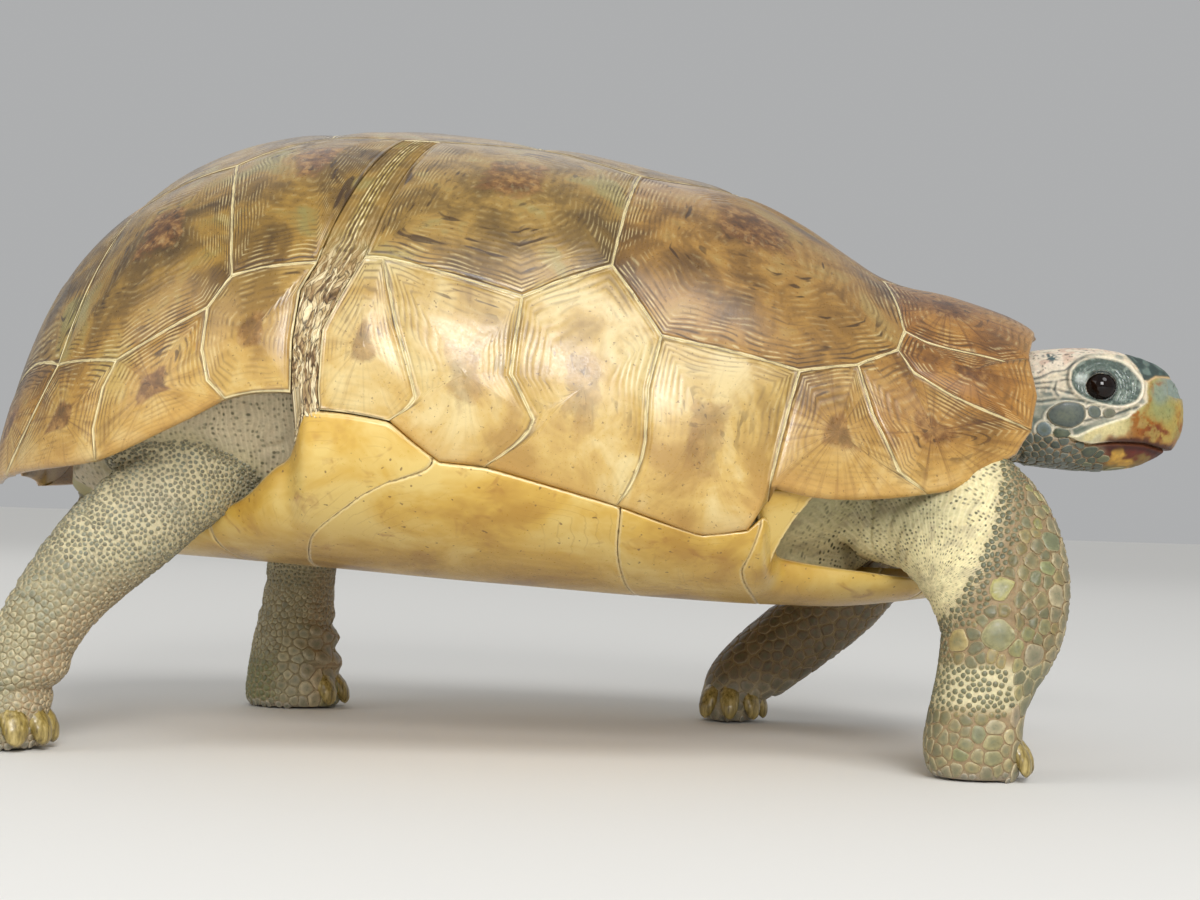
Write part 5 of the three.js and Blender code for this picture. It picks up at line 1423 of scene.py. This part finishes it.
def scale_radius(p, n, where):
    """How large scales grow at each point of the skin, in millimetres; none where it is bare."""
    part, _, share, reach = where
    radius = np.full(len(p), 0.8)
    near, far = part == PARTS["front_right"], part == PARTS["front_left"]
    z, ahead = p[:, 2], n[:, 0]
    radius = np.where(near | far, 1.0 + 0.55 * step(ahead, 0.25, 0.75), radius)
    radius = np.where(far, radius * 1.12, radius)
    wrist = near & (np.abs(z - 15) < 4) & (ahead < 0.55)
    radius = np.where(wrist, 0.48, radius)
    line = bare_line(z) - p[:, 0]
    fringe = near & (line > -4.5) & (z > 17) & (n[:, 1] < 0.4)
    radius = np.where(fringe, 0.5, radius)
    hind = np.isin(part, HIND_LEGS)
    radius = np.where(hind, 0.4 + 0.15 * step(share, 0.45, 0.65), radius)
    toes = (part == PARTS["rear_left"]) & (z < 16) & (ahead > -0.1)
    radius = np.where(toes, 0.95 + 0.75 * step(ahead, 0.1, 0.6), radius)
    radius = np.where(part == PARTS["tail"], 0.9, radius)
    head = (part == PARTS["head"]) & (p[:, 0] > 62)
    radius = np.where(head, 0.75, radius)
    radius = np.where((z < 1.6) & (part < PARTS["head"]), 0.6, radius)
    # Bare places: inside the shell, the near shoulder, the head's plates, and under the soles.
    bare = near & (line > 0.6) & (z > 18) & (n[:, 1] < 0.5)
    bare |= (reach > 1.35) | (z < 0.4) | ((n[:, 2] < -0.6) & (z < 2))
    q = p[:, [0, 2]]
    below = under_mouth(q)
    bare |= head & (q[:, 0] > 78) & ((below < 0.9) | (q[:, 0] > 94 - np.abs(p[:, 1]) * 0.2))
    bare |= (p[:, 0] > -50) & (p[:, 0] < 22)
    return np.where(bare, 0, radius)


def scatter(points, normals, radii, fixed):
    """Picks places for scales, largest first, spaced as their sizes ask and clear of the fixed ones."""
    order = np.argsort(-np.round(radii, 1) + rng.random(len(points)) * 0.001)
    points, normals, radii = points[order], normals[order], radii[order]
    tree = tree_through(points)
    taken = np.zeros(len(points), bool)
    for spot_at, size in fixed:
        for _, k, gap in tree.find_range(spot_at, 0.98 * size + radii.max()):
            taken[k] |= gap < 0.98 * size + radii[k] * 0.6
    chosen = []
    for k, point in enumerate(points):
        if taken[k]:
            continue
        chosen.append(k)
        for _, j, gap in tree.find_range(point, CROWDING * 2 * radii[k]):
            taken[j] |= gap < CROWDING * (radii[k] + radii[j])
    return points[chosen], normals[chosen], radii[chosen]


quad_points, quad_normals = skin_points[skin_quads], skin_normals[skin_quads]
drop = rng.random((2, len(skin_quads), 4, 1)) + 0.01
drop /= drop.sum(2, keepdims=True)
seeds = np.concatenate([(quad_points * share).sum(1) for share in drop])
seed_normals = unit(np.concatenate([(quad_normals * share).sum(1) for share in drop]))
outside = (seeds[:, 0] < COVERED[0]) | (seeds[:, 0] > COVERED[1])
seeds, seed_normals = seeds[outside], seed_normals[outside]
seed_where = on_parts(seeds)
radii = scale_radius(seeds, seed_normals, seed_where)
kept = radii > 0
seeds, seed_normals, radii = seeds[kept], seed_normals[kept], radii[kept]

touch = BVHTree.FromPolygons(skin_points.tolist(), skin_quads.tolist())


def placed(table, sides, depth):
    """The named scales of a table, set on the skin where a line square to the side view meets it."""
    found = []
    for side in sides:
        for x, z, long, high, turn, colour in table:
            at, normal, _, _ = touch.ray_cast(Vector((x, -side * depth, z)), Vector((0, side, 0)))
            if at is None:
                continue
            lie = Vector((math.cos(math.radians(turn)), 0, math.sin(math.radians(turn))))
            found.append((np.array(at), np.array(normal), long, high, np.array(lie), linear(colour)[:3]))
    return found


named = placed(FORELEG_SCALES, [1], 80) + placed(HEAD_SCALES, [1, -1], 30)
named_places = [(at, math.sqrt(long * high)) for at, _, long, high, _, _ in named]
chosen, chosen_normals, chosen_radii = scatter(seeds, seed_normals, radii, named_places)
chosen_where = on_parts(chosen)
chosen_colours = paint_scales(chosen, chosen_normals, chosen_where)
roots = np.concatenate([[n[0] for n in named], chosen])
facing = unit(np.concatenate([[n[1] for n in named], chosen_normals]))
longs = np.concatenate([[n[2] for n in named], chosen_radii])
highs = np.concatenate([[n[3] for n in named], chosen_radii])
lies = np.concatenate([[n[4] for n in named], np.tile([0.31, 0.2, 0.93], (len(chosen), 1))])
tones = np.concatenate([[n[5] for n in named], chosen_colours])
tones = tones + 0.3 * (tones.mean(1, keepdims=True) * [1.08, 1.0, 0.8] - tones)
tones = tones * (0.76 + 0.36 * rng.random((len(tones), 1)))
lies = unit(lies - facing * np.sum(lies * facing, -1, keepdims=True))
crosses = np.cross(facing, lies)
root_where = on_parts(roots)
# A scale spreads to meet its neighbours, but stands alone where the skin round it is loose.
LONE_SWELL, FINE_SWELL, SWELL, NAMED_SWELL = 1.1, 1.15, 1.7, 1.2
alone_here = (root_where[0] == PARTS["front_right"]) & (longs < 0.62)
swell = np.where(alone_here, LONE_SWELL, np.where(longs < FINE_SCALE, FINE_SWELL, SWELL))
swell[:len(named)] = NAMED_SWELL
root_tree = tree_through(roots)


def reach_of(k, c, s):
    """How far scales reach as ovals, toward an angle of cosine c and sine s."""
    return longs[k] * highs[k] / np.sqrt((highs[k] * c) ** 2 + (longs[k] * s) ** 2)


def cell(k, angles):
    """How far a scale reaches at each angle before it meets its neighbours, with its corners rounded."""
    near = np.array([j for _, j, _ in root_tree.find_n(roots[k], 18) if j != k])
    offset = roots[near] - roots[k]
    du, dv = offset @ lies[k], offset @ crosses[k]
    gap = np.hypot(du, dv) + 1e-6
    c, s = du / gap, dv / gap
    back_c, back_s = (np.sum(lies[near] * -offset, -1) / gap, np.sum(crosses[near] * -offset, -1) / gap)
    mine, theirs = reach_of(k, c, s), reach_of(near, back_c, back_s)
    border = gap * mine / (mine + theirs) - SCALE_GAP / 2
    facing_it = np.cos(angles)[:, None] * c + np.sin(angles)[:, None] * s
    limits = np.where(facing_it > 0.08, border / np.maximum(facing_it, 0.08), 99)
    own = swell[k] * reach_of(k, np.cos(angles), np.sin(angles))
    limits = np.concatenate([np.clip(limits, 0.12, None), own[:, None]], 1)
    return np.sum(limits ** -16.0, 1) ** (-1 / 16)


def unwrapped(k):
    """Where a scale's root lies on an unwrap of the skin: its part's strip, by its turn and its run."""
    part, _, share, _ = (values[k] for values in root_where)
    axis = AXES[list(AXES)[part]]
    centre = axis[min(int(share * (len(axis) - 1)), len(axis) - 1), :3]
    off = roots[k] - centre
    turn = math.atan2(off[1], off[0] if part < PARTS["head"] else off[2]) / (2 * math.pi) + 0.5
    return (part + 0.05 + 0.9 * turn) / len(AXES), 0.02 + 0.96 * share


def coat(name, members):
    """One coat piece: low horn domes at the members' roots, with each one's patch of the unwrap."""
    points, faces, colours, heights, sheet = [], [], [], [], []
    start = 0
    for k in members:
        size = math.sqrt(longs[k] * highs[k])
        count = 6 if size < FINE_SCALE else 8 if size < SMALL_SCALE else 12 if size < LARGE_SCALE else 22
        profile = LOW_PROFILE if size < SMALL_SCALE else FULL_PROFILE
        profile = profile[::2] if size < FINE_SCALE else profile
        high = 0.15 + 0.1 * size if size < 1.6 else TALLEST_SCALE
        angles = np.linspace(0, 2 * np.pi, count, endpoint=False)
        edge = cell(k, angles)
        c, s = np.cos(angles), np.sin(angles)
        for share, lift in profile + CROWN_AND_FLOOR:
            for i in range(1 if share == 0 else count):
                flat = roots[k] + (lies[k] * c[i] + crosses[k] * s[i]) * (edge[i] * share)
                if size > 0.9:
                    flat = np.array(touch.find_nearest(flat)[0])
                points.append(flat + facing[k] * (high * lift - 0.02))
                heights.append(share)
                sheet.append((share * c[i], share * s[i]))
        rows = len(profile)
        total = rows * count + 2
        ring_faces = sheet_faces(rows, count, start=start)
        i = np.arange(count)
        j = (i + 1) % count
        top, low = start + rows * count, start + rows * count + 1
        last = start + (rows - 1) * count
        faces.append((ring_faces, np.stack([last + i, last + j, np.full(count, top)], -1),
                      np.stack([start + j, start + i, np.full(count, low)], -1)))
        colours.append(np.tile(tones[k], (total, 1)))
        start += total
    quads = np.concatenate([f[0] for f in faces])
    tris = np.concatenate([np.concatenate(f[1:]) for f in faces])
    points = np.array(points)
    points[:, 2] = np.maximum(points[:, 2], SOLE_LEVEL)
    piece = make_piece(name, points, [quads, tris])
    set_paint(piece, np.concatenate(colours), rim=heights)
    unwrap = piece.data.uv_layers.new(name="OFBake")
    at = np.repeat([unwrapped(k) for k in members], [len(c) for c in colours],
                   axis=0) + PATCH / 2 * np.array(sheet)
    corners = np.empty(len(piece.data.loops), int)
    piece.data.loops.foreach_get("vertex_index", corners)
    unwrap.data.foreach_set("uv", at[corners].astype(np.float32).ravel())
    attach(piece, "root")
    return piece


def scale_horn():
    """Thin horn plates, dry and a little worn. It gives each scale a waxy dome with a paler, chafed rim."""
    made, add = finish("thin_horn_of_the_scales", IOR=1.52)
    place = millimetres(add)
    paint = kept_shade(add, "paint", "Color")
    rim = kept_shade(add, "rim")
    grain = add("TexNoise", place, 1.6, 3.0, 0.6)
    colour = add("VectorMath", paint, remap(grain, 0.3, 0.7, 0.7, 1.25), operation="SCALE")
    core = times(remap(rim, 0.25, 0.8, 0.75, 0.0), remap(grain, 0.4, 0.6, 0.35, 1.0))
    colour = mix(core, colour, "#5c6149")
    chafed = remap(rim, 0.88, 1.0, 0.0, 0.4)
    colour = mix(chafed, colour, "#c9b78f")
    rough = remap(grain, 0.3, 0.7, 0.32, 0.55)
    wire(made, Base_Color=colour, Roughness=rough, Normal=add("Bump", 0.4, 0.0003, grain))
    return made


scale_finish = scale_horn()
members = {"foreleg_right": (PARTS["front_right"], "leg_skin"),
           "foreleg_left": (PARTS["front_left"], "leg_skin"),
           "hind_leg_right": (PARTS["rear_right"], "leg_skin"),
           "hind_leg_left": (PARTS["rear_left"], "leg_skin"), "head_and_neck": (PARTS["head"], "head_skin"),
           "tail": (PARTS["tail"], "soft_skin")}
for name, (part, slot) in members.items():
    piece = coat("scales_" + name, np.flatnonzero(root_where[0] == part))
    piece.data.materials.append(scale_finish)

# ------------------------------------------------------------------ claws
# Stout blunt nails of horn, rooted in the toes and worn down at the tip: five on each forefoot, four behind.
# Middle of the sole, reach fore-and-aft and sideways, heading, spread, and the claws' count, length
# and radius.
FEET = {
    "front_right": ((63.6, -51.5), (7.6, 7.2), 30, 120, 5, 3.4, 2.0),
    "front_left": ((28.2, 41), (5.6, 7), -55, 150, 5, 3.4, 2.1),
    "rear_right": ((-98.8, -50.5), (8, 7.8), -37, 105, 4, 3, 2.55),
    "rear_left": ((-62, 44), (9.6, 9), 12, 100, 4, 3, 2.4),
}


def claw(middle, reach, angle, length, thick):
    out = np.array([math.cos(angle), math.sin(angle), 0])
    size = math.hypot(out[0] * reach[0], out[1] * reach[1])
    root, tip = (np.array([*middle, z]) + out * far
                 for z, far in ((6.6, 0.72 * size), (0.9, size + 0.45 * length)))
    crook = (root + tip) / 2 + out * 1.5 + [0, 0, 1.2]
    t = np.linspace(0, 1, 24)[:, None]
    path = (1 - t) ** 2 * root + 2 * t * (1 - t) * crook + t**2 * tip
    radius = thick * np.sqrt(1 - np.linspace(0, 0.998, 24) ** 5) * (1 - 0.16 * t[:, 0])
    forward = unit(np.gradient(path, axis=0))
    side = np.array([-out[1], out[0], 0])
    over = np.cross(forward, side)
    c, s = oval(2.2, 20)
    ridges = 1 + 0.02 * np.sin(t * 30)
    return (path[:, None] + side * (radius[:, None] * ridges * c)[..., None]
            + over[:, None] * (0.7 * radius[:, None] * ridges * s)[..., None])


def claw_horn():
    """Solid keratin worn by walking. It gives a waxy olive-amber nail with long faint streaks."""
    made, add = finish("worn_claw_horn", Coat_Weight=0.3, Coat_Roughness=0.2, IOR=1.54)
    place = millimetres(add)
    streak = add("TexNoise", add("Mapping", place, None, None, (1.6, 1.6, 0.35), vector_type="POINT"), 1.0,
                 3.0, 0.6)
    colour = ramp(streak, [(0.32, "#62522a"), (0.5, "#8e7b40"), (0.68, "#b4a066")])
    wire(made, Base_Color=colour, Roughness=remap(streak, 0.3, 0.7, 0.25, 0.45),
         Normal=add("Bump", 0.3, 0.0003, streak))
    return made


nail = claw_horn()
for name, (middle, reach, heading, spread, count, length, thick) in FEET.items():
    points, quads, ends, base = [], [], [], 0
    for k in range(count):
        rings = claw(middle, reach, math.radians(heading + spread * (k / (count - 1) - 0.5)), length, thick)
        rows, around = rings.shape[:2]
        points.append(rings.reshape(-1, 3))
        points.append(rings[[0, -1]].mean(1))
        quads.append(sheet_faces(rows, around, start=base))
        i = np.arange(around)
        j = (i + 1) % around
        first, last, foot = base, base + (rows - 1) * around, base + rows * around
        ends += [np.stack([first + j, first + i, np.full(around, foot)], -1),
                 np.stack([last + i, last + j, np.full(around, foot + 1)], -1)]
        base += rows * around + 2
    points = np.concatenate(points)
    points[:, 2] = np.maximum(points[:, 2], SOLE_LEVEL)
    piece = make_piece("claws_" + name, points, [np.concatenate(quads), np.concatenate(ends)])
    piece.data.materials.append(nail)
    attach(piece, "root")

# ------------------------------------------------------------------ eyes
# Glass eyes, nearly black, set in the lids with only their fronts open. They are polished and always wet.
wet, wet_add = finish("polished_black_glass", Roughness=0.03, IOR=1.36)
place = millimetres(wet_add)
depth = wet_add("TexNoise", place, 0.7, 2.0, 0.5)
wire(wet, Base_Color=ramp(depth, [(0.3, "#080505"), (0.7, "#1c100a")]))
EYE_ROWS, EYE_AROUND = 40, 64
for name, side in (("eye_right", -1), ("eye_left", 1)):
    turn = np.linspace(0, 2 * np.pi, EYE_AROUND, endpoint=False)
    rise = np.linspace(0.02, np.pi - 0.02, EYE_ROWS)[:, None]
    ball = np.stack([np.sin(rise) * np.cos(turn), -side * np.cos(rise) + 0 * turn,
                     np.sin(rise) * np.sin(turn)], -1)
    rings = EYE * [1, side, 1] + ball * EYE_RADIUS
    caps = [np.arange(EYE_AROUND)[::-1][None], (EYE_ROWS - 1) * EYE_AROUND + np.arange(EYE_AROUND)[None]]
    faces = [sheet_faces(EYE_ROWS, EYE_AROUND)] + caps
    if side > 0:
        faces = [f[:, ::-1] for f in faces]
    eye = make_piece("glass_" + name, rings.reshape(-1, 3), faces)
    eye.data.materials.append(wet)
    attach(eye, "root")
    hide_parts(name)

# ------------------------------------------------------------------ studio
# A pale paper floor without an edge, and soft light: a small key in front, a broad fill from the rear
# quarter, a back light and weak slanting daylight. The camera stands 430 mm to the right of the animal's
# middle line and 42 mm above the floor.
CAMERA_PLACE = (SHIFT / 1000, -0.430, 0.0424)
SENSOR_WIDTH, LENS, CLIP_START = 36, 68.37, 0.01
TILT, ROLL = math.radians(1.52), math.radians(1.8)
LAMPS = {  # place in metres, size and power
    "key": ((0.12, -0.9, 0.42), 0.3, 6),
    "fill": ((-0.9, -0.6, 0.5), 0.7, 3),
    "back": ((-0.2, 0.9, 0.9), 0.9, 1.5),
}
LAMPS_AIM = Vector((0, 0, 0.05))
SUN_POWER, SUN_SPREAD, SUN_WAY = 0.9, math.radians(25), Vector((-0.35, 0.6, -0.8))
FLOOR_REACH = 6
scene = bpy.context.scene
scene.view_settings.view_transform = "Standard"
camera = bpy.data.objects.new("camera", bpy.data.cameras.new("camera"))
scene.collection.objects.link(camera)
scene.camera = camera
camera.data.sensor_width, camera.data.lens, camera.data.clip_start = SENSOR_WIDTH, LENS, CLIP_START
camera.matrix_world = (Matrix.Translation(CAMERA_PLACE) @ Matrix.Rotation(math.pi / 2 + TILT, 4, "X")
                       @ Matrix.Rotation(ROLL, 4, "Z"))
floor = bpy.data.objects.new("floor", bpy.data.meshes.new("floor"))
floor_corners = [(x * FLOOR_REACH, y * FLOOR_REACH, 0) for x, y in ((-1, -1), (1, -1), (1, 1), (-1, 1))]
floor.data.from_pydata(floor_corners, [], [(0, 1, 2, 3)])
scene.collection.objects.link(floor)
floor.data.materials.append(finish("pale_paper", Base_Color=(0.74, 0.73, 0.7, 1), Roughness=0.8)[0])
scene.world = bpy.data.worlds.new("studio")
scene.world.use_nodes = True
sky = scene.world.node_tree.nodes["Background"].inputs
sky["Color"].default_value, sky["Strength"].default_value = (0.84, 0.85, 0.86, 1), 0.5
for name, (place, size, power) in LAMPS.items():
    lamp = bpy.data.objects.new(name, bpy.data.lights.new(name, "AREA"))
    lamp.data.size = size
    lamp.data.energy = power
    lamp.location = place
    lamp.rotation_mode = "QUATERNION"
    lamp.rotation_quaternion = (LAMPS_AIM - Vector(place)).to_track_quat("-Z", "Y")
    scene.collection.objects.link(lamp)

sun = bpy.data.objects.new("daylight", bpy.data.lights.new("daylight", "SUN"))
sun.data.energy, sun.data.angle = SUN_POWER, SUN_SPREAD
sun.rotation_mode = "QUATERNION"
sun.rotation_quaternion = SUN_WAY.to_track_quat("-Z", "Y")
scene.collection.objects.link(sun)
